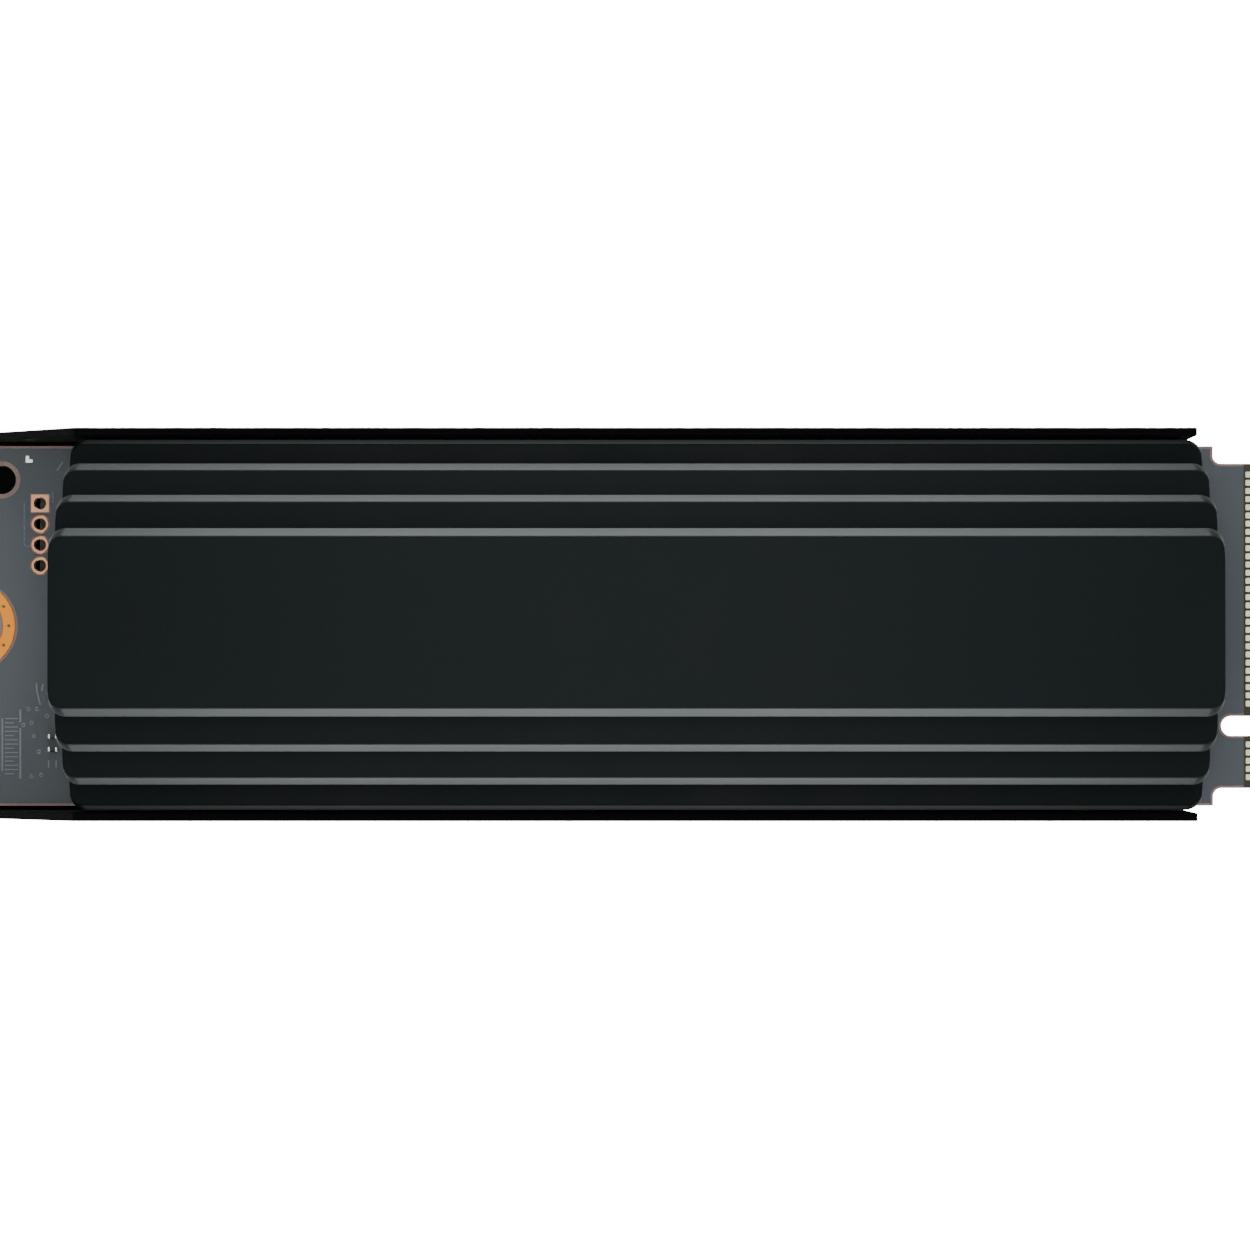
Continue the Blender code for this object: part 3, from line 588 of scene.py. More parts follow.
def solder_mask(name, colour):
    """Sprayed mask over woven glass: satin dark grey, with the weave just telling through."""
    material, tree, shader, place = new_material(name)
    patches = grain(tree, place, 4.0)
    fine = grain(tree, place, 0.12)
    set_colour_by(tree, shader, (patches, "Fac"), shaded(colour, 0.93), shaded(colour, 1.07))
    set_roughness_by(tree, shader, (patches, "Fac"), 0.42, 0.5)
    weave_pitch = 0.45
    warp, weft = [bands(tree, place, weave_pitch, direction, 0.6) for direction in "XY"]
    cloth = add_node(
        tree, "ShaderNodeMath", links={0: (warp, "Fac"), 1: (weft, "Fac")}, operation="ADD",
    )
    cloth_and_grain = add_node(
        tree, "ShaderNodeMath", links={0: (cloth, "Value"), 1: (fine, "Fac")}, operation="ADD",
    )
    set_bump_by(tree, shader, (cloth_and_grain, "Value"), 0.0012)
    return material


def bare_laminate(name, colour):
    """Routed glass laminate: resin in thin plies, with pale glass ends."""
    material, tree, shader, place = new_material(name)
    ply = 0.1
    plies = bands(tree, place, ply, "Z", 1.5)
    fibres = grain(tree, place, 0.15)
    blend = add_node(
        tree, "ShaderNodeMath", links={0: (plies, "Fac"), 1: (fibres, "Fac")}, operation="MULTIPLY",
    )
    set_colour_by(tree, shader, (blend, "Value"), shaded(colour, 0.8), shaded(colour, 1.3))
    set_roughness_by(tree, shader, (fibres, "Fac"), 0.5, 0.7)
    set_bump_by(tree, shader, (fibres, "Fac"), 0.004)
    return material


def plated_metal(name, colour, rough, grain_size=0.08, depth=0.0015):
    """Electroplated metal: a satin of fine grains with slow changes of gloss."""
    return grained_material(
        name, colour, rough, grain_size, depth, spread=0.06, patch_size=0.6, Metallic=1.0,
    )


def printed_ink(colours):
    """Screen printed ink, thin enough that the mask greys it, with a mesh's tiny gaps."""
    return grained_material(
        "screen printed ink, thin", colours.ink, rough=0.55, grain_size=0.1, depth=0.002,
        spread=0.3, patch_size=0.15,
    )


def epoxy_moulding(colours):
    """Transfer moulded epoxy with silica filler: dull black with a sandy grain."""
    return grained_material(
        "transfer moulded epoxy", colours.moulding, rough=0.55, grain_size=0.12, depth=0.006,
        spread=0.15, patch_size=2.0,
    )


def silicone_pad(colours):
    """Calendered silicone full of ceramic powder: soft, dull and speckled."""
    return grained_material(
        "filled silicone pad", colours.silicone, rough=0.8, grain_size=0.2, depth=0.02,
        spread=0.12, patch_size=0.4,
    )


def pressed_ferrite(colours):
    """Iron powder pressed in resin: dull dark grey with a close, gritty grain."""
    return grained_material(
        "pressed ferrite powder", colours.ferrite, rough=0.6, grain_size=0.08, depth=0.006,
        patch_size=0.3,
    )


def fired_ceramic(colours):
    """Fired ceramic: smooth tan with a faint gloss."""
    return grained_material(
        "fired ceramic", colours.ceramic, rough=0.45, grain_size=0.08, depth=0.002,
        spread=0.08, patch_size=0.5,
    )


def resistor_glaze(colours):
    """Glass glaze over a resistor's film: glossy black."""
    return grained_material(
        "black resistor glaze", colours.glaze, rough=0.3, grain_size=0.1, depth=0.001,
        spread=0.1, patch_size=0.3,
    )


def package_substrate(colours):
    """Thin laminate under green mask: satin, with slow changes of tone."""
    return grained_material(
        "green package substrate", colours.substrate, rough=0.45, grain_size=0.15, depth=0.002,
        spread=0.1, patch_size=1.0,
    )


def plated_lid(colours):
    """Stamped copper under nickel: satin grey with faint rolling lines along the drive."""
    material, tree, shader, place = new_material("nickel plated lid, stamped", Metallic=1.0)
    stretched = add_node(
        tree, "ShaderNodeMapping", {"Scale": (0.05, 1.0, 1.0)}, {"Vector": place},
    )
    lines = grain(tree, (stretched, "Vector"), 0.1)
    patches = grain(tree, place, 2.0)
    set_colour_by(
        tree, shader, (patches, "Fac"), shaded(colours.nickel, 0.92), shaded(colours.nickel, 1.04),
    )
    set_roughness_by(tree, shader, (lines, "Fac"), 0.25, 0.38)
    set_bump_by(tree, shader, (lines, "Fac"), 0.001)
    return material


# Heatsink

def add_plate(bm, sizes, half_width, low, high, upper_chamfer, lower_chamfer):
    """A plate with round corners, chamfered along its sides and square at its ends."""
    levels = (
        (low, lower_chamfer, sizes.rim_corner_radius),
        (low + lower_chamfer, 0.0, sizes.corner_radius),
        (high - upper_chamfer, 0.0, sizes.corner_radius),
        (high, upper_chamfer, sizes.rim_corner_radius),
    )
    rings = []
    for height, inset, radius in levels:
        half = half_width - inset
        rings.append(add_ring(bm, (SINK_LOW.x, -half), (SINK_HIGH.x, half), height, radius))
    skin_rings(bm, rings)
    for end in (rings[0], rings[-1]):
        bmesh.ops.contextual_create(bm, geom=end)
    for ring in rings[:3]:
        round_edges(bm, ring, sizes.outer_round, 2)
    sides = [edge for edge in rings[3] if not runs_along(edge, ALONG_Y)]
    round_edges(bm, sides, sizes.inner_round, 3)


def plate_levels(sizes):
    """Half width, underside, top and chamfer of each plate over the base."""
    base_top = SINK_LOW.z + sizes.base_thickness
    steps = (sizes.lower_step, sizes.middle_step, sizes.top_step)
    chamfers = (sizes.lower_chamfer, sizes.middle_chamfer, sizes.top_chamfer)
    half = SINK_HIGH.y
    levels = []
    for index, (step, chamfer) in enumerate(zip(steps, chamfers)):
        half -= step
        top = base_top + (index + 1) * sizes.fin_pitch
        thickness = sizes.top_thickness if index == 2 else sizes.fin_thickness
        levels.append((half, top - thickness, top, chamfer))
    return levels


def spine_body(sizes):
    """The spine that joins the plates, widening in a fillet at each."""
    bm = bmesh.new()
    narrow = sizes.spine_width / 2
    sunk = 0.002 * MM
    wide = narrow + sizes.spine_fillet + sunk
    gap_low = SINK_LOW.z + sizes.base_thickness
    outline = [(wide, gap_low - sizes.fin_thickness / 2, False)]
    for _, underside, top, _ in plate_levels(sizes):
        outline += [
            (wide, gap_low - sunk, False),
            (narrow, gap_low - sunk, True),
            (narrow, underside + sunk, True),
            (wide, underside + sunk, False),
        ]
        gap_low = top
    outline.append((wide, top - sizes.fin_thickness / 2, False))
    place = SINK_LOW.x + sizes.spine_setback
    verts = []
    inner = []
    for side, points in ((1, outline), (-1, outline[::-1])):
        for across, height, is_corner in points:
            vert = bm.verts.new((place, side * across, height))
            verts.append(vert)
            if is_corner:
                inner.append(vert)
    bm.faces.new(verts)
    bmesh.ops.bevel(
        bm, geom=inner, offset=sizes.spine_fillet, offset_type="OFFSET", segments=6, profile=0.5,
        affect="VERTICES", clamp_overlap=False, material=-1,
    )
    grown = bmesh.ops.extrude_face_region(bm, geom=bm.faces[:], use_keep_orig=True)
    moved = [item for item in grown["geom"] if isinstance(item, bmesh.types.BMVert)]
    reach = SINK_HIGH.x - SINK_LOW.x - 2 * sizes.spine_setback
    bmesh.ops.translate(bm, verts=moved, vec=(reach, 0.0, 0.0))
    return bm


def make_heatsink(sizes, finish):
    """The base and its three plates on one spine, with a groove along each flank."""
    body = bmesh.new()
    base_top = SINK_LOW.z + sizes.base_thickness
    add_plate(
        body, sizes, SINK_HIGH.y, SINK_LOW.z, base_top, sizes.base_chamfer, sizes.base_chamfer,
    )
    for half, low, high, chamfer in plate_levels(sizes):
        add_plate(body, sizes, half, low, high, chamfer, sizes.underside_chamfer)
    body = combined(body, spine_body(sizes), "UNION")
    grooves = bmesh.new()
    middle = SINK_LOW.z + sizes.groove_rise
    for side in (-1, 1):
        inner = side * (SINK_HIGH.y - sizes.groove_depth)
        outer = side * (SINK_HIGH.y + sizes.groove_depth)
        add_round_box(
            grooves,
            (SINK_LOW.x - sizes.groove_depth, min(inner, outer), middle - sizes.groove_height / 2),
            (SINK_HIGH.x + sizes.groove_depth, max(inner, outer), middle + sizes.groove_height / 2),
            sizes.groove_round, ALONG_X, 3,
        )
    body = combined(body, grooves, "DIFFERENCE")
    make_piece("finned_heatsink", body, [finish], ["heatsink"])


# Tray

def bent_sheet(sizes):
    """The sheet with its two bends and sloping tails, before its slot and beads."""
    bm = bmesh.new()
    side = TRAY_HIGH.y
    corners = ((-side, TRAY_HIGH.z), (-side, TRAY_LOW.z), (side, TRAY_LOW.z), (side, TRAY_HIGH.z))
    verts = [bm.verts.new((TRAY_LOW.x, across, height)) for across, height in corners]
    edges = [bm.edges.new(pair) for pair in zip(verts, verts[1:])]
    grown = bmesh.ops.extrude_edge_only(bm, edges=edges)
    moved = [item for item in grown["geom"] if isinstance(item, bmesh.types.BMVert)]
    bmesh.ops.translate(bm, verts=moved, vec=(TRAY_HIGH.x - TRAY_LOW.x, 0.0, 0.0))
    bends = [edge for edge in edges_along(bm, bm.verts, ALONG_X) if len(edge.link_faces) == 2]
    round_edges(bm, bends, sizes.bend_radius + sizes.thickness, ARC_STEPS)
    slope_end = Vector((TRAY_LOW.x, 0.0, CARD_HIGH.z - sizes.tail_drop))
    slope_start = Vector((TRAY_LOW.x + sizes.tail_length, 0.0, TRAY_HIGH.z))
    slope = slope_start - slope_end
    bmesh.ops.bisect_plane(
        bm, geom=bm.verts[:] + bm.edges[:] + bm.faces[:], plane_co=slope_end,
        plane_no=(-slope.z, 0.0, slope.x), clear_outer=True, dist=MERGE_DISTANCE,
    )
    bmesh.ops.recalc_face_normals(bm, faces=bm.faces)
    bmesh.ops.solidify(bm, geom=bm.faces[:], thickness=sizes.thickness)
    bmesh.ops.recalc_face_normals(bm, faces=bm.faces)
    rim = [edge for edge in bm.edges if edge.calc_face_angle(0.0) > radians(80)]
    round_edges(bm, rim, sizes.edge_round, 2)
    return bm


def bead_shapes(sizes, base, tip):
    """Rounded and tapered bodies at each bead, from a base to a tip across the tray."""
    bm = bmesh.new()
    middle = (TRAY_LOW.x + sizes.tail_length + TRAY_HIGH.x) / 2
    first = middle - sizes.bead_spacing * (sizes.bead_count - 1) / 2
    half_length = sizes.bead_length / 2
    half_width = sizes.bead_width / 2
    corner = 0.9 * (half_width - sizes.bead_taper)
    for index in range(sizes.bead_count):
        place = first + index * sizes.bead_spacing
        for side in (-1, 1):
            ends = sorted((side * base, side * tip))
            low = (place - half_length, ends[0], sizes.bead_height - half_width)
            high = (place + half_length, ends[1], sizes.bead_height + half_width)
            verts = add_box(bm, low, high)
            tips = [vert for vert in verts if abs(vert.co.y - side * tip) < MERGE_DISTANCE]
            for vert in tips:
                vert.co.x += sizes.bead_taper if vert.co.x < place else -sizes.bead_taper
                vert.co.z += sizes.bead_taper if vert.co.z < sizes.bead_height else -sizes.bead_taper
            sides = [edge for vert in tips for edge in vert.link_edges if edge.other_vert(vert) not in tips]
            round_edges(bm, sides, corner, 6)
    return bm


def make_tray(sizes, finish):
    """The folded sheet, its tails, its slot and its pressed beads."""
    sheet = bent_sheet(sizes)
    slot = bmesh.new()
    centre = (CARD_LOW.x, 0.0)
    add_cylinder(slot, centre, sizes.slot_radius, -sizes.thickness, 2 * sizes.thickness)
    sheet = combined(sheet, slot, "DIFFERENCE")
    inner = TRAY_HIGH.y - sizes.thickness
    bite = sizes.thickness / 4
    sheet = combined(sheet, bead_shapes(sizes, inner + bite, inner - sizes.bead_depth), "UNION")
    hollows = bead_shapes(sizes, TRAY_HIGH.y + bite, TRAY_HIGH.y - sizes.bead_depth)
    sheet = combined(sheet, hollows, "DIFFERENCE")
    make_piece("folded_tray", sheet, [finish], ["tray"])


# Card

def card_piece(name, bm, materials, choose=None):
    """A piece that belongs to the card."""
    return make_piece(name, bm, materials, ["circuit_board"], choose)


def card_levels(card):
    """Lower and upper face of the card, over its mask."""
    return CARD_LOW.z + card.plating, CARD_HIGH.z - card.plating


def copper_spans(card):
    """Heights of the lower and the upper face's copper, from inside the mask to the plating's top."""
    face_low, face_high = card_levels(card)
    sunk = 2 * card.mask_thickness
    return (CARD_LOW.z, face_low + sunk), (face_high - sunk, CARD_HIGH.z)


def header_places(card):
    """Middle of each plated hole, from the first."""
    along = CARD_LOW.x + card.header_from_end
    first = CARD_HIGH.y - card.header_from_edge
    return [(along, first - index * card.header_pitch) for index in range(card.header_count)]


def tooling_place(card):
    return (CARD_LOW.x + card.tooling_from_end, CARD_HIGH.y - card.tooling_from_edge)


def outline_cutters(card, margin):
    """Bodies that take the shoulders and the key notch out of the card, grown by a margin."""
    bm = bmesh.new()
    low = CARD_LOW.z - card.thickness
    high = CARD_HIGH.z + card.thickness
    beyond = CARD_HIGH.x + card.thickness
    tongue_half = CARD_HIGH.y - card.shoulder_step
    for side in (-1, 1):
        ends = sorted((side * (tongue_half - margin), side * (CARD_HIGH.y + card.thickness)))
        verts = add_box(
            bm, (CARD_HIGH.x - card.tongue_length - margin, ends[0], low), (beyond, ends[1], high),
        )
        uprights = edges_along(bm, verts, ALONG_Z)
        inner = [
            edge for edge in uprights
            if edge.verts[0].co.x < CARD_HIGH.x - card.thickness
            and abs(edge.verts[0].co.y) < CARD_HIGH.y
        ]
        round_edges(bm, inner, card.shoulder_radius + margin, ARC_STEPS)
    half = card.key_width / 2 + margin
    verts = add_box(
        bm,
        (CARD_HIGH.x - card.key_depth - margin, card.key_offset - half, low),
        (beyond, card.key_offset + half, high),
    )
    notch = edges_at(edges_along(bm, verts, ALONG_Z), ALONG_X, CARD_HIGH.x - card.key_depth - margin)
    round_edges(bm, notch, NEARLY_ALL * half, ARC_STEPS)
    return bm


def card_blank(card, low, high, margin):
    """The card's outline between two heights, drawn in by a margin all round."""
    bm = bmesh.new()
    verts = add_box(
        bm,
        (CARD_LOW.x + margin, CARD_LOW.y + margin, low),
        (CARD_HIGH.x - margin, CARD_HIGH.y - margin, high),
    )
    uprights = edges_along(bm, verts, ALONG_Z)
    round_edges(bm, edges_at(uprights, ALONG_X, CARD_LOW.x + margin), card.corner_radius, 5)
    return bm


def card_core(card):
    """The laminate with its routed outline, lead-in and drilled holes."""
    face_low, face_high = card_levels(card)
    low = face_low + card.mask_thickness
    high = face_high - card.mask_thickness
    bm = card_blank(card, low, high, 0.0)
    bevelled = edges_at(edges_along(bm, bm.verts, ALONG_Y), ALONG_X, CARD_HIGH.x)
    round_edges(bm, bevelled, card.lead_in, 1)
    round_edges(bm, edges_along(bm, bm.verts, ALONG_X), card.edge_round, 2)
    cutters = outline_cutters(card, 0.0)
    drill_low = low - card.thickness
    drill_high = high + card.thickness
    add_cylinder(cutters, (CARD_LOW.x, 0.0), card.retention_radius, drill_low, drill_high)
    add_cylinder(cutters, tooling_place(card), card.tooling_radius, drill_low, drill_high)
    for centre in header_places(card):
        radius = card.header_hole / 2 + card.barrel
        add_cylinder(cutters, centre, radius, drill_low, drill_high)
    return combined(bm, cutters, "DIFFERENCE")


def mask_layer(card, low, high, end):
    """One face's solder mask, open at the edges, the holes, the pads and the contacts."""
    bm = card_blank(card, low, high, card.mask_margin)
    cutters = outline_cutters(card, card.mask_margin)
    cut_low = low - card.thickness
    cut_high = high + card.thickness
    ring_room = card.ring_outer_radius + card.ring_gap
    add_cylinder(cutters, (CARD_LOW.x, 0.0), ring_room, cut_low, cut_high)
    tooling_room = card.tooling_radius + card.tooling_margin
    add_cylinder(cutters, tooling_place(card), tooling_room, cut_low, cut_high)
    pad_room = card.header_pad / 2 + card.pad_gap
    for index, (along, across) in enumerate(header_places(card)):
        if index:
            add_cylinder(cutters, (along, across), pad_room, cut_low, cut_high)
        else:
            add_box(
                cutters,
                (along - pad_room, across - pad_room, cut_low),
                (along + pad_room, across + pad_room, cut_high),
            )
    bm = combined(bm, cutters, "DIFFERENCE")
    window = bmesh.new()
    add_box(
        window,
        (end, CARD_LOW.y - card.thickness, cut_low),
        (CARD_HIGH.x + card.thickness, CARD_HIGH.y + card.thickness, cut_high),
    )
    return combined(bm, window, "DIFFERENCE")


def contact_window(card, contact_length):
    """Where the mask ends behind a row of contacts."""
    return CARD_HIGH.x - card.contact_end_gap - contact_length - card.contact_mask_gap


def make_card_body(card, laminate, laminate_in_painted_shade, mask):
    """The laminate core, darkened as painted shade between and behind the contacts, and the mask on both
    its faces.
    """
    face_low, face_high = card_levels(card)
    core = card_core(card)
    lengths = {1: card.upper_contact, -1: card.lower_contact}
    windows = {side: contact_window(card, length) for side, length in lengths.items()}
    for place in windows.values():
        bmesh.ops.bisect_plane(
            core, geom=core.verts[:] + core.edges[:] + core.faces[:], plane_co=(place, 0.0, 0.0),
            plane_no=(1.0, 0.0, 0.0), dist=MERGE_DISTANCE,
        )

    def lies_in_window(face):
        is_upright = abs(face.normal.z) < 0.9
        end = windows[1 if face.normal.z > 0 else -1]
        return int(not is_upright and face.calc_center_median().x > end)

    card_piece("card_laminate_core", core, [laminate, laminate_in_painted_shade], lies_in_window)
    upper = mask_layer(card, face_high - card.mask_thickness, face_high, windows[1])
    lower = mask_layer(card, face_low, face_low + card.mask_thickness, windows[-1])
    card_piece("solder_mask_top", upper, [mask])
    card_piece("solder_mask_bottom", lower, [mask])


def contact_row(bm, card, count, contact_length, span):
    """One row of contacts, with none where the key notch would cut them."""
    low, high = span
    end = CARD_HIGH.x - card.contact_end_gap
    first = (count - 1) * card.contact_pitch / 2
    for index in range(count):
        across = first - index * card.contact_pitch
        if abs(across - card.key_offset) - card.key_width / 2 < card.key_clearance:
            continue
        half = card.contact_width / 2
        add_round_box(
            bm, (end - contact_length, across - half, low), (end, across + half, high),
            card.contact_round, steps=3,
        )


def make_contacts(card, contact_gold):
    """The rows of hard gold contacts on both faces of the tongue."""
    bm = bmesh.new()
    lower, upper = copper_spans(card)
    tongue_half = CARD_HIGH.y - card.shoulder_step
    upper_count = int(2 * (tongue_half - card.contact_edge_margin) / card.contact_pitch) + 1
    contact_row(bm, card, upper_count, card.upper_contact, upper)
    contact_row(bm, card, upper_count - 1, card.lower_contact, lower)
    card_piece("edge_contacts", bm, [contact_gold])


def ring_plate(card, low, high):
    """A half ring from the card to its outer face, cut square at the end and drilled for stitching."""
    bm = bmesh.new()
    edge = card.ring_edge
    shoulder = high - edge if high > low else high + edge
    section = (
        (card.ring_inner_radius, low),
        (card.ring_outer_radius, low),
        (card.ring_outer_radius, shoulder),
        (card.ring_outer_radius - edge, high),
        (card.ring_inner_radius + edge, high),
        (card.ring_inner_radius, shoulder),
    )
    verts = [bm.verts.new((CARD_LOW.x, -radius, height)) for radius, height in section]
    face = bm.faces.new(verts)
    bmesh.ops.spin(
        bm, geom=[face], cent=(CARD_LOW.x, 0.0, 0.0), axis=(0.0, 0.0, 1.0), angle=pi,
        steps=HOLE_STEPS, use_merge=False,
    )
    trim = bmesh.new()
    room = card.ring_outer_radius + edge
    add_box(
        trim,
        (CARD_LOW.x - room, -room, low - room),
        (CARD_LOW.x + card.ring_setback, room, high + room),
    )
    stitch_count = 5
    stitch_turn = radians(30)
    for index in range(stitch_count):
        angle = stitch_turn * (index - (stitch_count - 1) / 2)
        centre = Matrix.Rotation(angle, 2) @ Vector((card.stitch_radius, 0.0))
        add_cylinder(
            trim, (CARD_LOW.x + centre.x, centre.y), card.stitch_diameter / 2,
            low - room, high + room, SMALL_HOLE_STEPS,
        )
    return combined(bm, trim, "DIFFERENCE")


def make_retention_ring(card, gold):
    """The gold half ring that the screw's head bears on, on both faces."""
    (lower_top, lower_foot), (upper_foot, upper_top) = copper_spans(card)
    upper = ring_plate(card, upper_foot, upper_top)
    lower = ring_plate(card, lower_foot, lower_top)
    for bm, name in ((upper, "retention_ring_top"), (lower, "retention_ring_bottom")):
        card_piece(name, bm, [gold])


def plated_hole(card, centre, is_square):
    """A thin tube through the card with a round or a square pad at each end."""
    bm = bmesh.new()
    hole = card.header_hole / 2
    drilled = hole + card.barrel
    half = card.header_pad / 2
    edge = card.pad_edge
    (low, copper_low), (copper_high, high) = copper_spans(card)
    inside = [(hole + edge, high), (hole, high - edge), (hole, low + edge), (hole + edge, low)]
    outside = [(drilled, copper_low), (drilled, copper_high)]
    if not is_square:
        lower_pad = [(half - edge, low), (half, low + edge), (half, copper_low)]
        upper_pad = [(half, copper_high), (half, high - edge), (half - edge, high)]
        add_spun(bm, centre, inside + lower_pad + outside + upper_pad, HOLE_STEPS)
        return bm
    inner = [add_circle(bm, centre, radius, height) for radius, height in inside]
    outer = [add_circle(bm, centre, radius, height) for radius, height in outside]
    reach = Vector((half, half))
    pads = [
        add_ring(bm, Vector(centre) - reach, Vector(centre) + reach, height, card.pad_corner, 2)
        for height in (low, copper_low, copper_high, high)
    ]
    skin_rings(bm, inner + pads[:2] + outer + pads[2:] + inner[:1])
    return bm


def make_header(card, header_gold):
    """The row of plated holes, the first with square pads."""
    for index, centre in enumerate(header_places(card)):
        card_piece(f"header_hole_{index + 1}", plated_hole(card, centre, index == 0), [header_gold])


# Print and relief on the card

def add_strip(bm, start, end, width, low, high):
    """A raised line between two points on the card, with eased edges and round ends."""
    start = Vector(start)
    end = Vector(end)
    run = end - start
    half = width / 2
    verts = add_box(bm, (-run.length / 2 - half, -half, low), (run.length / 2 + half, half, high))
    uprights = edges_along(bm, verts, ALONG_Z)
    rounded = round_edges(bm, uprights, 0.99 * half, 4)
    moved = list(dict.fromkeys(vert for face in rounded["faces"] for vert in face.verts))
    turn = Vector((1.0, 0.0)).angle_signed(run)
    middle = (start + end) / 2
    place = Matrix.Translation((middle.x, middle.y, 0.0)) @ Matrix.Rotation(-turn, 4, "Z")
    bmesh.ops.transform(bm, matrix=place, verts=moved)


def add_via(bm, marks, centre, face):
    """A low ring of copper round a filled via, under the mask."""
    section = (
        (marks.via_inside, face - marks.via_sunk),
        (marks.via_crest, face + marks.via_height),
        (marks.via_outside, face - marks.via_sunk),
    )
    add_spun(bm, centre, section, SMALL_HOLE_STEPS)


def make_traces(card, marks, mask):
    """Copper runs and tented vias that show as relief under the mask at the retention end. Their mask is
    lighter: partly copper's tone under mask, partly painted highlight.
    """
    bm = bmesh.new()
    _, face = card_levels(card)
    low = face - card.mask_thickness / 2
    corner = Vector((CARD_LOW.x, CARD_LOW.y))
    # Each run's two ends and its width, in millimetres from the card's corner
    runs = (
        ((1.97, 2.15), (1.97, 5.30), 0.10),
        ((3.07, 1.70), (3.07, 4.70), 0.12),
        ((3.07, 5.15), (3.07, 5.85), 0.12),
        ((4.05, 7.45), (4.08, 6.98), 0.10),
        ((4.08, 6.98), (4.28, 6.20), 0.10),
        ((4.38, 7.05), (4.44, 7.40), 0.10),
        ((5.26, 2.35), (5.26, 2.75), 0.08),
        ((4.80, 2.35), (4.80, 2.75), 0.08),
        ((5.30, 20.5), (5.62, 21.0), 0.08),
    )
    for index, (start, finish, width) in enumerate(runs):
        high = face + marks.run_height + marks.run_lift * (index % 3)
        add_strip(bm, corner + Vector(start) * MM, corner + Vector(finish) * MM, width * MM, low, high)
    for index in range(marks.comb_count):
        root = corner + Vector((marks.comb_start, marks.comb_edge + marks.comb_pitch * index))
        reach = marks.comb_length if index % 3 else marks.comb_short
        high = face + marks.comb_height
        add_strip(bm, root, root + Vector((reach, 0.0)), marks.comb_width, low, high)
    # Each via's middle, in millimetres from the same corner
    vias = (
        (3.57, 5.91), (4.08, 5.91), (3.27, 4.93), (3.76, 5.06), (3.90, 4.26),
        (3.77, 1.81), (4.35, 1.88), (4.71, 5.49), (4.20, 3.30),
    )
    for via in vias:
        add_via(bm, marks, corner + Vector(via) * MM, face)
    card_piece("copper_relief_with_painted_highlight", bm, [mask])


def make_print(card, marks, ink):
    """The thin printed outline beside the header holes."""
    bm = bmesh.new()
    _, face = card_levels(card)
    low = face - card.mask_thickness / 2
    overlap = 0.002
    # Each line's two ends in millimetres from the first hole, and how far it lies over the others
    lines = (
        ((-0.96, 0.0), (-0.96, -2.55), 0.0),
        ((-0.96, -2.55), (-0.71, -2.65), overlap),
        ((0.77, 0.7), (0.77, 0.05), 0.0),
    )
    first = Vector(header_places(card)[0])
    for start, finish, lift in lines:
        high = face + marks.ink_height + lift * MM
        add_strip(
            bm, first + Vector(start) * MM, first + Vector(finish) * MM, marks.ink_width, low, high,
        )
    card_piece("header_print", bm, [ink])


def make_corner_mark(card, marks, tin):
    """The small tinned angle near the corner that the placing machine looks for."""
    _, face = card_levels(card)
    low = Vector((CARD_LOW.x + marks.mark_from_end, CARD_HIGH.y - marks.mark_from_edge, 0.0))
    low.z = face - card.mask_thickness / 2
    rise = face + marks.mark_height - low.z
    arms = []
    for reach in ((marks.mark_reach, marks.mark_arm), (marks.mark_arm, marks.mark_reach)):
        arm = bmesh.new()
        add_box(arm, low, low + Vector((*reach, rise)))
        arms.append(arm)
    bm = combined(*arms, "UNION")
    round_edges(bm, edges_along(bm, bm.verts, ALONG_Z), marks.mark_round, 2)
    card_piece("corner_mark", bm, [tin])


# Packages and small parts

def make_chip(node, across, body_finish, tin, cap, edge):
    """A two ended chip on its solder: a body between two caps along one axis."""
    low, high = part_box(node)
    inset = Vector((edge, edge, edge))
    inset[across] = cap / 2
    body = bmesh.new()
    add_round_box(body, low + inset, high - inset, edge, across, 2)
    make_piece(f"{node}_body", body, [body_finish], [node])
    ends = bmesh.new()
    for start, stop in ((low[across], low[across] + cap), (high[across] - cap, high[across])):
        end_low = low.copy()
        end_high = high.copy()
        end_low[across] = start
        end_high[across] = stop
        verts = add_box(ends, end_low, end_high)
        inside = set(verts)
        round_edges(ends, [item for item in ends.edges if item.verts[0] in inside], 2 * edge, 3)
    make_piece(f"{node}_caps", ends, [tin], [node])


def make_chips(sizes, colours, tin):
    """The two tiny resistors by the header and the row of capacitors at the connector's end."""
    glaze = resistor_glaze(colours)
    for index in range(2):
        make_chip(
            f"chip_resistor_{index + 1}", ALONG_X, glaze, tin,
            sizes.resistor_cap, sizes.resistor_edge,
        )
    ceramic = fired_ceramic(colours)
    for index in range(8):
        make_chip(
            f"capacitor_{index + 1}", ALONG_Y, ceramic, tin,
            sizes.capacitor_cap, sizes.capacitor_edge,
        )


def make_memory_packages(sizes, moulding, substrate):
    """Sawn memory packages: a moulded block on a thin substrate."""
    names = [f"flash_chip_{index + 1}" for index in range(4)] + ["cache_chip_top", "cache_chip_bottom"]
    for node in names:
        low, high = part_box(node)
        is_below = low.z < CARD_LOW.z
        seam = high.z - sizes.substrate if is_below else low.z + sizes.substrate
        bm = bmesh.new()
        add_round_box(bm, low, high, sizes.package_corner, steps=3)
        bmesh.ops.bisect_plane(
            bm, geom=bm.verts[:] + bm.edges[:] + bm.faces[:], plane_co=(0.0, 0.0, seam),
            plane_no=(0.0, 0.0, 1.0), dist=MERGE_DISTANCE,
        )

        def is_substrate(face):
            height = face.calc_center_median().z
            return int(height > seam if is_below else height < seam)

        make_piece(f"{node}_package", bm, [moulding, substrate], [node], is_substrate)


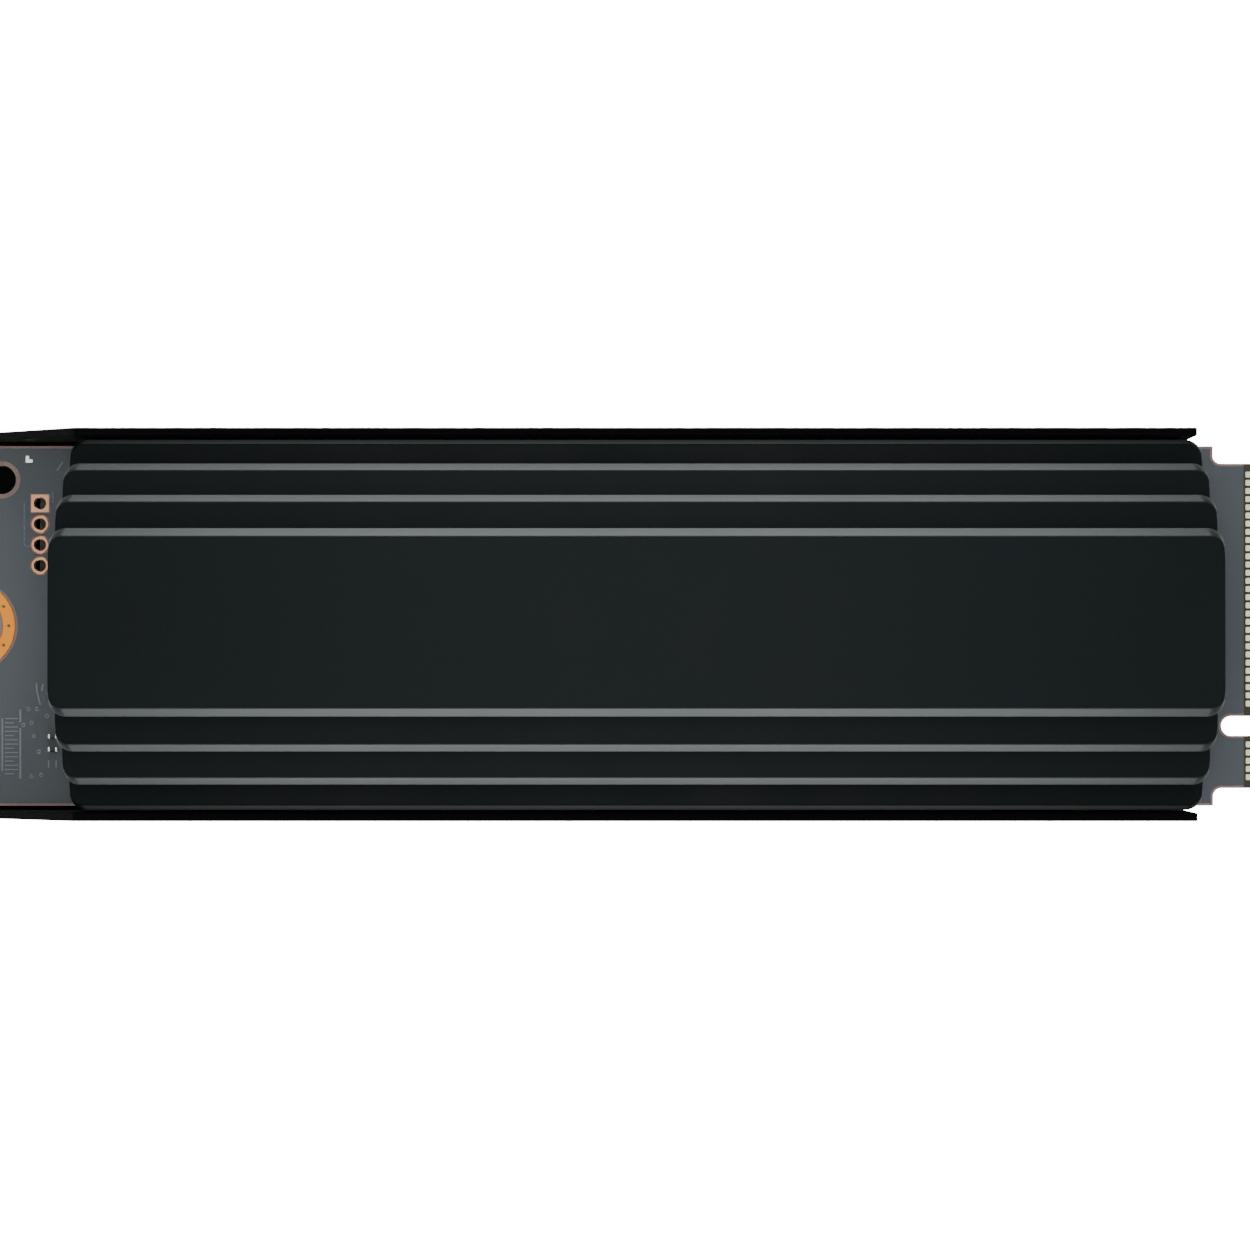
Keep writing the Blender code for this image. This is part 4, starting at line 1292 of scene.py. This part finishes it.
def make_controller(sizes, substrate, lid):
    """The controller's substrate under its stamped metal lid."""
    low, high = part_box("controller")
    lid_foot = high.z - sizes.controller_lid
    rim = sizes.controller_rim
    base = bmesh.new()
    add_round_box(base, low, (high.x, high.y, lid_foot), sizes.controller_corner, steps=3)
    make_piece("controller_substrate", base, [substrate], ["controller"])
    cover = topped_box(
        (low.x + rim, low.y + rim, lid_foot), (high.x - rim, high.y - rim, high.z),
        sizes.lid_corner, 6, sizes.lid_round, 3,
    )
    make_piece("controller_lid", cover, [lid], ["controller"])


def make_crystal(sizes, ceramic, lid):
    """The crystal's ceramic tub and its seam welded lid."""
    low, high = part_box("crystal")
    rim = sizes.crystal_rim
    lid_foot = high.z - sizes.crystal_lid
    tub = bmesh.new()
    add_round_box(tub, low, (high.x, high.y, lid_foot), sizes.crystal_corner, steps=4)
    make_piece("crystal_tub", tub, [ceramic], ["crystal"])
    cover = topped_box(
        (low.x + rim, low.y + rim, lid_foot), (high.x - rim, high.y - rim, high.z),
        sizes.crystal_corner, 4, sizes.small_round,
    )
    make_piece("crystal_lid", cover, [lid], ["crystal"])


def make_inductors(sizes, ferrite, tin):
    """Pressed power inductors with a tinned foot folded up at each end."""
    depth = sizes.foot_depth
    foot_reach = 4 * depth
    for index in range(3):
        node = f"inductor_{index + 1}"
        low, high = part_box(node)
        body = topped_box(
            (low.x + depth, low.y, low.z), (high.x - depth, high.y, high.z),
            sizes.inductor_corner, 5, sizes.body_round,
        )
        make_piece(f"{node}_body", body, [ferrite], [node])
        feet = bmesh.new()
        half = (high.y - low.y) / 2 - sizes.foot_inset
        middle = (high.y + low.y) / 2
        for start, stop in ((low.x, low.x + foot_reach), (high.x - foot_reach, high.x)):
            add_round_box(
                feet, (start, middle - half, low.z), (stop, middle + half, low.z + sizes.foot_height),
                sizes.small_round, ALONG_Y, 2,
            )
        make_piece(f"{node}_feet", feet, [tin], [node])


def make_leadless_package(sizes, node, moulding, tin, lead_count, pitch, is_square):
    """A small moulded package with its tinned leads flush in its lower edges."""
    low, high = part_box(node)
    proud = Vector((sizes.lead_proud, sizes.lead_proud, 0.0))
    body = bmesh.new()
    add_round_box(body, low + proud, high - proud, sizes.leadless_corner, steps=2)
    make_piece(f"{node}_moulding", body, [moulding], [node])
    leads = bmesh.new()
    middle = (low + high) / 2
    width = 0.45 * pitch
    depth = sizes.lead_depth
    lead_top = low.z + sizes.lead_height
    first = -(lead_count - 1) * pitch / 2
    for index in range(lead_count):
        shift = first + index * pitch
        place = middle.x + shift
        for start, stop in ((low.y, low.y + depth), (high.y - depth, high.y)):
            add_box(leads, (place - width / 2, start, low.z), (place + width / 2, stop, lead_top))
        if is_square:
            place = middle.y + shift
            for start, stop in ((low.x, low.x + depth), (high.x - depth, high.x)):
                add_box(leads, (start, place - width / 2, low.z), (stop, place + width / 2, lead_top))
    make_piece(f"{node}_leads", leads, [tin], [node])


def make_pads(sizes, silicone):
    """Soft pads with their cut edges eased."""
    for node in ("controller_pad", "memory_pad", "lower_pad"):
        low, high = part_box(node)
        bm = bmesh.new()
        add_round_box(bm, low, high, sizes.pad_corner, steps=4)
        rims = [edge for edge in bm.edges if edge.calc_face_angle(0.0) > radians(80)]
        round_edges(bm, rims, sizes.body_round, 2)
        make_piece(f"{node}_sheet", bm, [silicone], [node])


# Stage

def make_floor(stage, colours):
    """A wide pale floor with a field of light in its middle, as a light table has.

    Its glow lights nothing but the floor, so the ground is white and the drive's edges stay dark.
    """
    half_width = 2.0
    clearance = 0.02 * MM
    bm = bmesh.new()
    bmesh.ops.create_grid(bm, x_segments=8, y_segments=8, size=half_width)
    bmesh.ops.translate(bm, vec=(0.0, 0.0, -clearance), verts=bm.verts)
    mesh = bpy.data.meshes.new("light_table")
    bm.to_mesh(mesh)
    bm.free()
    floor = bpy.data.objects.new("light_table", mesh)
    bpy.context.scene.collection.objects.link(floor)
    material, tree, shader, place = new_material("opal acrylic sheet, lit from below", Roughness=0.7)
    patches = grain(tree, place, 300.0)
    set_colour_by(
        tree, shader, (patches, "Fac"), shaded(colours.floor, 0.99), shaded(colours.floor, 1.0),
    )
    parts = add_node(tree, "ShaderNodeSeparateXYZ", links={"Vector": place})
    along = add_node(tree, "ShaderNodeMath", links={0: (parts, "X")}, operation="ABSOLUTE")
    across = add_node(tree, "ShaderNodeMath", links={0: (parts, "Y")}, operation="ABSOLUTE")
    reach = add_node(
        tree, "ShaderNodeMath", links={0: (along, "Value"), 1: (across, "Value")}, operation="MAXIMUM",
    )
    glow = add_node(
        tree, "ShaderNodeMapRange",
        {
            "From Min": stage.field, "From Max": stage.field + stage.field_fade,
            "To Min": stage.floor_glow, "To Max": stage.floor_fill,
        },
        {"Value": (reach, "Value")}, interpolation_type="SMOOTHSTEP",
    )
    shader.inputs["Emission Color"].default_value = (1.0, 1.0, 1.0, 1.0)
    tree.links.new(glow.outputs["Result"], shader.inputs["Emission Strength"])
    mesh.materials.append(material)
    floor.light_linking.receiver_collection = one_linked("light stays on the floor", floor, "INCLUDE")


def make_surround(stage):
    """A surround that is pale near the floor and dark overhead."""
    world = bpy.data.worlds.new("studio with a dark ceiling")
    world.use_nodes = True
    tree = world.node_tree
    back = tree.nodes["Background"]
    place = add_node(tree, "ShaderNodeTexCoord")
    parts = add_node(tree, "ShaderNodeSeparateXYZ", links={"Vector": (place, "Generated")})
    across = add_node(tree, "ShaderNodeMath", links={0: (parts, "Y")}, operation="ABSOLUTE")
    around = add_node(
        tree, "ShaderNodeMapRange",
        {"From Min": 0.3, "From Max": 0.8, "To Min": stage.end_horizon, "To Max": stage.horizon},
        {"Value": (across, "Value")}, interpolation_type="SMOOTHSTEP",
    )
    height = add_node(
        tree, "ShaderNodeMapRange", {"From Min": 0.3, "From Max": 0.75, "To Max": stage.zenith},
        {"Value": (parts, "Z"), "To Min": (around, "Result")}, interpolation_type="SMOOTHSTEP",
    )
    tree.links.new(height.outputs["Result"], back.inputs["Strength"])
    back.inputs["Color"].default_value = (1.0, 1.0, 1.0, 1.0)
    bpy.context.scene.world = world


def add_soft_light(name, colour, width, length, glow, place, turn):
    """A rectangle of even radiance that the camera doesn't see."""
    data = bpy.data.lights.new(name, "AREA")
    data.shape = "RECTANGLE"
    data.size = width
    data.size_y = length
    data.energy = glow * pi * width * length
    light = bpy.data.objects.new(name, data)
    bpy.context.scene.collection.objects.link(light)
    light.location = place
    light.rotation_euler = turn
    light.visible_camera = False
    data.color = colour
    return light


def one_linked(name, item, state):
    """A collection that names one object to a light, to be taken in or left out."""
    group = bpy.data.collections.new(name)
    group.objects.link(item)
    group.collection_objects[0].light_linking.link_state = state
    return group


def make_lights(stage):
    """An upright panel on each side, a small light over each end of the card, and a dim panel overhead.

    The tray's walls shade the rims of the heatsink's base from the side panels. A second panel at each
    side's place passes the tray, and lights those rims. The small lights leave out the heatsink.
    """
    rise = stage.panel_high - stage.panel_low
    middle = stage.panel_low + rise / 2
    tray = bpy.data.objects["folded_tray"]
    heatsink = bpy.data.objects["finned_heatsink"]
    past_tray = one_linked("light passes the tray", tray, "EXCLUDE")
    off_heatsink = one_linked("light leaves out the heatsink", heatsink, "EXCLUDE")
    for side in (-1, 1):
        add_soft_light(
            f"side panel {side}", stage.light_colour, stage.panel_length, rise, stage.panel_glow,
            (0.0, side * stage.panel_distance, middle), (radians(-90 * side), 0.0, 0.0),
        )
        rim_light = add_soft_light(
            f"rim panel {side}", stage.light_colour, stage.panel_length, rise, stage.rim_glow,
            (0.0, side * stage.panel_distance, middle), (radians(-90 * side), 0.0, 0.0),
        )
        rim_light.light_linking.blocker_collection = past_tray
        small_light = add_soft_light(
            f"small light {side}", stage.light_colour, stage.strip_width, stage.strip_length,
            stage.retention_glow if side < 0 else stage.connector_glow,
            (side * stage.strip_place, 0.0, stage.strip_height), (0.0, 0.0, 0.0),
        )
        small_light.light_linking.receiver_collection = off_heatsink
    add_soft_light(
        "overhead panel", stage.light_colour, stage.overhead_length, stage.overhead_width,
        stage.overhead_glow, (0.0, 0.0, stage.overhead_height), (0.0, 0.0, 0.0),
    )


def make_camera(stage):
    """The photograph's view, straight down with the connector to the right."""
    data = bpy.data.cameras.new("photo camera")
    camera = bpy.data.objects.new("photo camera", data)
    bpy.context.scene.collection.objects.link(camera)
    card_face = 3.0 * MM
    aim = Vector((stage.aim_along, stage.aim_across, card_face))
    camera.location = (stage.aim_along, stage.camera_offset, stage.camera_height)
    direction = aim - camera.location
    camera.rotation_euler = direction.to_track_quat("-Z", "Y").to_euler()
    data.sensor_width = 36.0
    data.angle = 2 * atan(stage.view_width / 2 / direction.length)
    data.clip_start = 0.01
    data.clip_end = 20.0
    bpy.context.scene.camera = camera


# Operators

class DriveOperator:
    """What the drive's operators share."""

    bl_options = {"REGISTER", "UNDO"}


class DRIVE_OT_heatsink(DriveOperator, bpy.types.Operator):
    """Build the finned heatsink"""

    bl_idname = "drive.heatsink"
    bl_label = "Heatsink"

    def execute(self, context):
        scene = context.scene
        make_heatsink(scene.drive_heatsink, anodised_aluminium(scene.drive_colours))
        return {"FINISHED"}


class DRIVE_OT_tray(DriveOperator, bpy.types.Operator):
    """Build the folded tray"""

    bl_idname = "drive.tray"
    bl_label = "Tray"

    def execute(self, context):
        scene = context.scene
        make_tray(scene.drive_tray, coated_sheet(scene.drive_colours))
        return {"FINISHED"}


class DRIVE_OT_card(DriveOperator, bpy.types.Operator):
    """Build the card's laminate, mask, relief and print"""

    bl_idname = "drive.card"
    bl_label = "Card"

    def execute(self, context):
        card = context.scene.drive_card
        colours = context.scene.drive_colours
        mask = solder_mask("solder mask over woven glass", colours.mask)
        laminate = bare_laminate("routed glass laminate, bare", colours.laminate)
        # A darker copy of the laminate, as painted shade between and behind the contacts
        laminate_in_painted_shade = bare_laminate("glass prepreg over dark inner layers", colours.laminate_in_painted_shade)
        make_card_body(card, laminate, laminate_in_painted_shade, mask)
        marks = context.scene.drive_marks
        # The runs and vias get a lighter copy of the mask: partly copper's own tone under it, partly
        # painted highlight
        make_traces(card, marks, solder_mask("solder mask over copper runs", colours.copper_mask_with_painted_highlight))
        make_print(card, marks, printed_ink(colours))
        return {"FINISHED"}


class DRIVE_OT_plating(DriveOperator, bpy.types.Operator):
    """Build the contacts, the retention rings, the header holes and the corner mark"""

    bl_idname = "drive.plating"
    bl_label = "Plating"

    def execute(self, context):
        card = context.scene.drive_card
        colours = context.scene.drive_colours
        make_contacts(card, plated_metal("hard gold contacts, plated", colours.contact, 0.3))
        make_retention_ring(card, plated_metal("immersion gold on nickel", colours.gold, 0.45))
        make_header(card, plated_metal("immersion gold in drilled holes", colours.header, 0.4))
        tin = plated_metal("reflowed tin", colours.tin, 0.25)
        make_corner_mark(card, context.scene.drive_marks, tin)
        return {"FINISHED"}


class DRIVE_OT_parts(DriveOperator, bpy.types.Operator):
    """Build the small chips, the packages and the pads"""

    bl_idname = "drive.parts"
    bl_label = "Packages and pads"

    def execute(self, context):
        sizes = context.scene.drive_packages
        colours = context.scene.drive_colours
        tin = plated_metal("tinned ends", colours.tin, 0.25)
        moulding = epoxy_moulding(colours)
        substrate = package_substrate(colours)
        lid = plated_lid(colours)
        make_chips(sizes, colours, tin)
        make_memory_packages(sizes, moulding, substrate)
        make_controller(sizes, substrate, lid)
        make_crystal(sizes, fired_ceramic(colours), lid)
        make_inductors(sizes, pressed_ferrite(colours), tin)
        make_leadless_package(
            sizes, "power_chip", moulding, tin, lead_count=6, pitch=0.5 * MM, is_square=True,
        )
        make_leadless_package(
            sizes, "firmware_chip", moulding, tin, lead_count=4, pitch=0.6 * MM, is_square=False,
        )
        make_pads(sizes, silicone_pad(colours))
        return {"FINISHED"}


class DRIVE_OT_stage(DriveOperator, bpy.types.Operator):
    """Build the floor, the surround, the lights and the camera"""

    bl_idname = "drive.stage"
    bl_label = "Stage"

    def execute(self, context):
        stage = context.scene.drive_stage
        make_floor(stage, context.scene.drive_colours)
        make_surround(stage)
        make_lights(stage)
        make_camera(stage)
        return {"FINISHED"}


OPERATORS = (
    DRIVE_OT_heatsink,
    DRIVE_OT_tray,
    DRIVE_OT_card,
    DRIVE_OT_plating,
    DRIVE_OT_parts,
    DRIVE_OT_stage,
)
SETTINGS = {
    "drive_heatsink": HeatsinkSettings,
    "drive_tray": TraySettings,
    "drive_card": CardSettings,
    "drive_marks": PrintSettings,
    "drive_packages": PackageSettings,
    "drive_colours": FinishColours,
    "drive_stage": StageSettings,
}


class DRIVE_PT_build(bpy.types.Panel):
    """Lists the operators in the order that they run"""

    bl_idname = "DRIVE_PT_build"
    bl_label = "Gumstick drive"
    bl_space_type = "VIEW_3D"
    bl_region_type = "UI"
    bl_category = "Drive"

    def draw(self, context):
        for operator in OPERATORS:
            self.layout.operator(operator.bl_idname)


def register():
    for group in SETTINGS.values():
        bpy.utils.register_class(group)
    for name, group in SETTINGS.items():
        setattr(bpy.types.Scene, name, PointerProperty(type=group))
    for operator in OPERATORS:
        bpy.utils.register_class(operator)
    bpy.utils.register_class(DRIVE_PT_build)


def unregister():
    bpy.utils.unregister_class(DRIVE_PT_build)
    for operator in reversed(OPERATORS):
        bpy.utils.unregister_class(operator)
    for name in SETTINGS:
        delattr(bpy.types.Scene, name)
    for group in reversed(SETTINGS.values()):
        bpy.utils.unregister_class(group)


def main():
    register()
    bpy.ops.drive.heatsink()
    bpy.ops.drive.tray()
    bpy.ops.drive.card()
    bpy.ops.drive.plating()
    bpy.ops.drive.parts()
    bpy.ops.drive.stage()


if __name__ == "__main__":
    main()
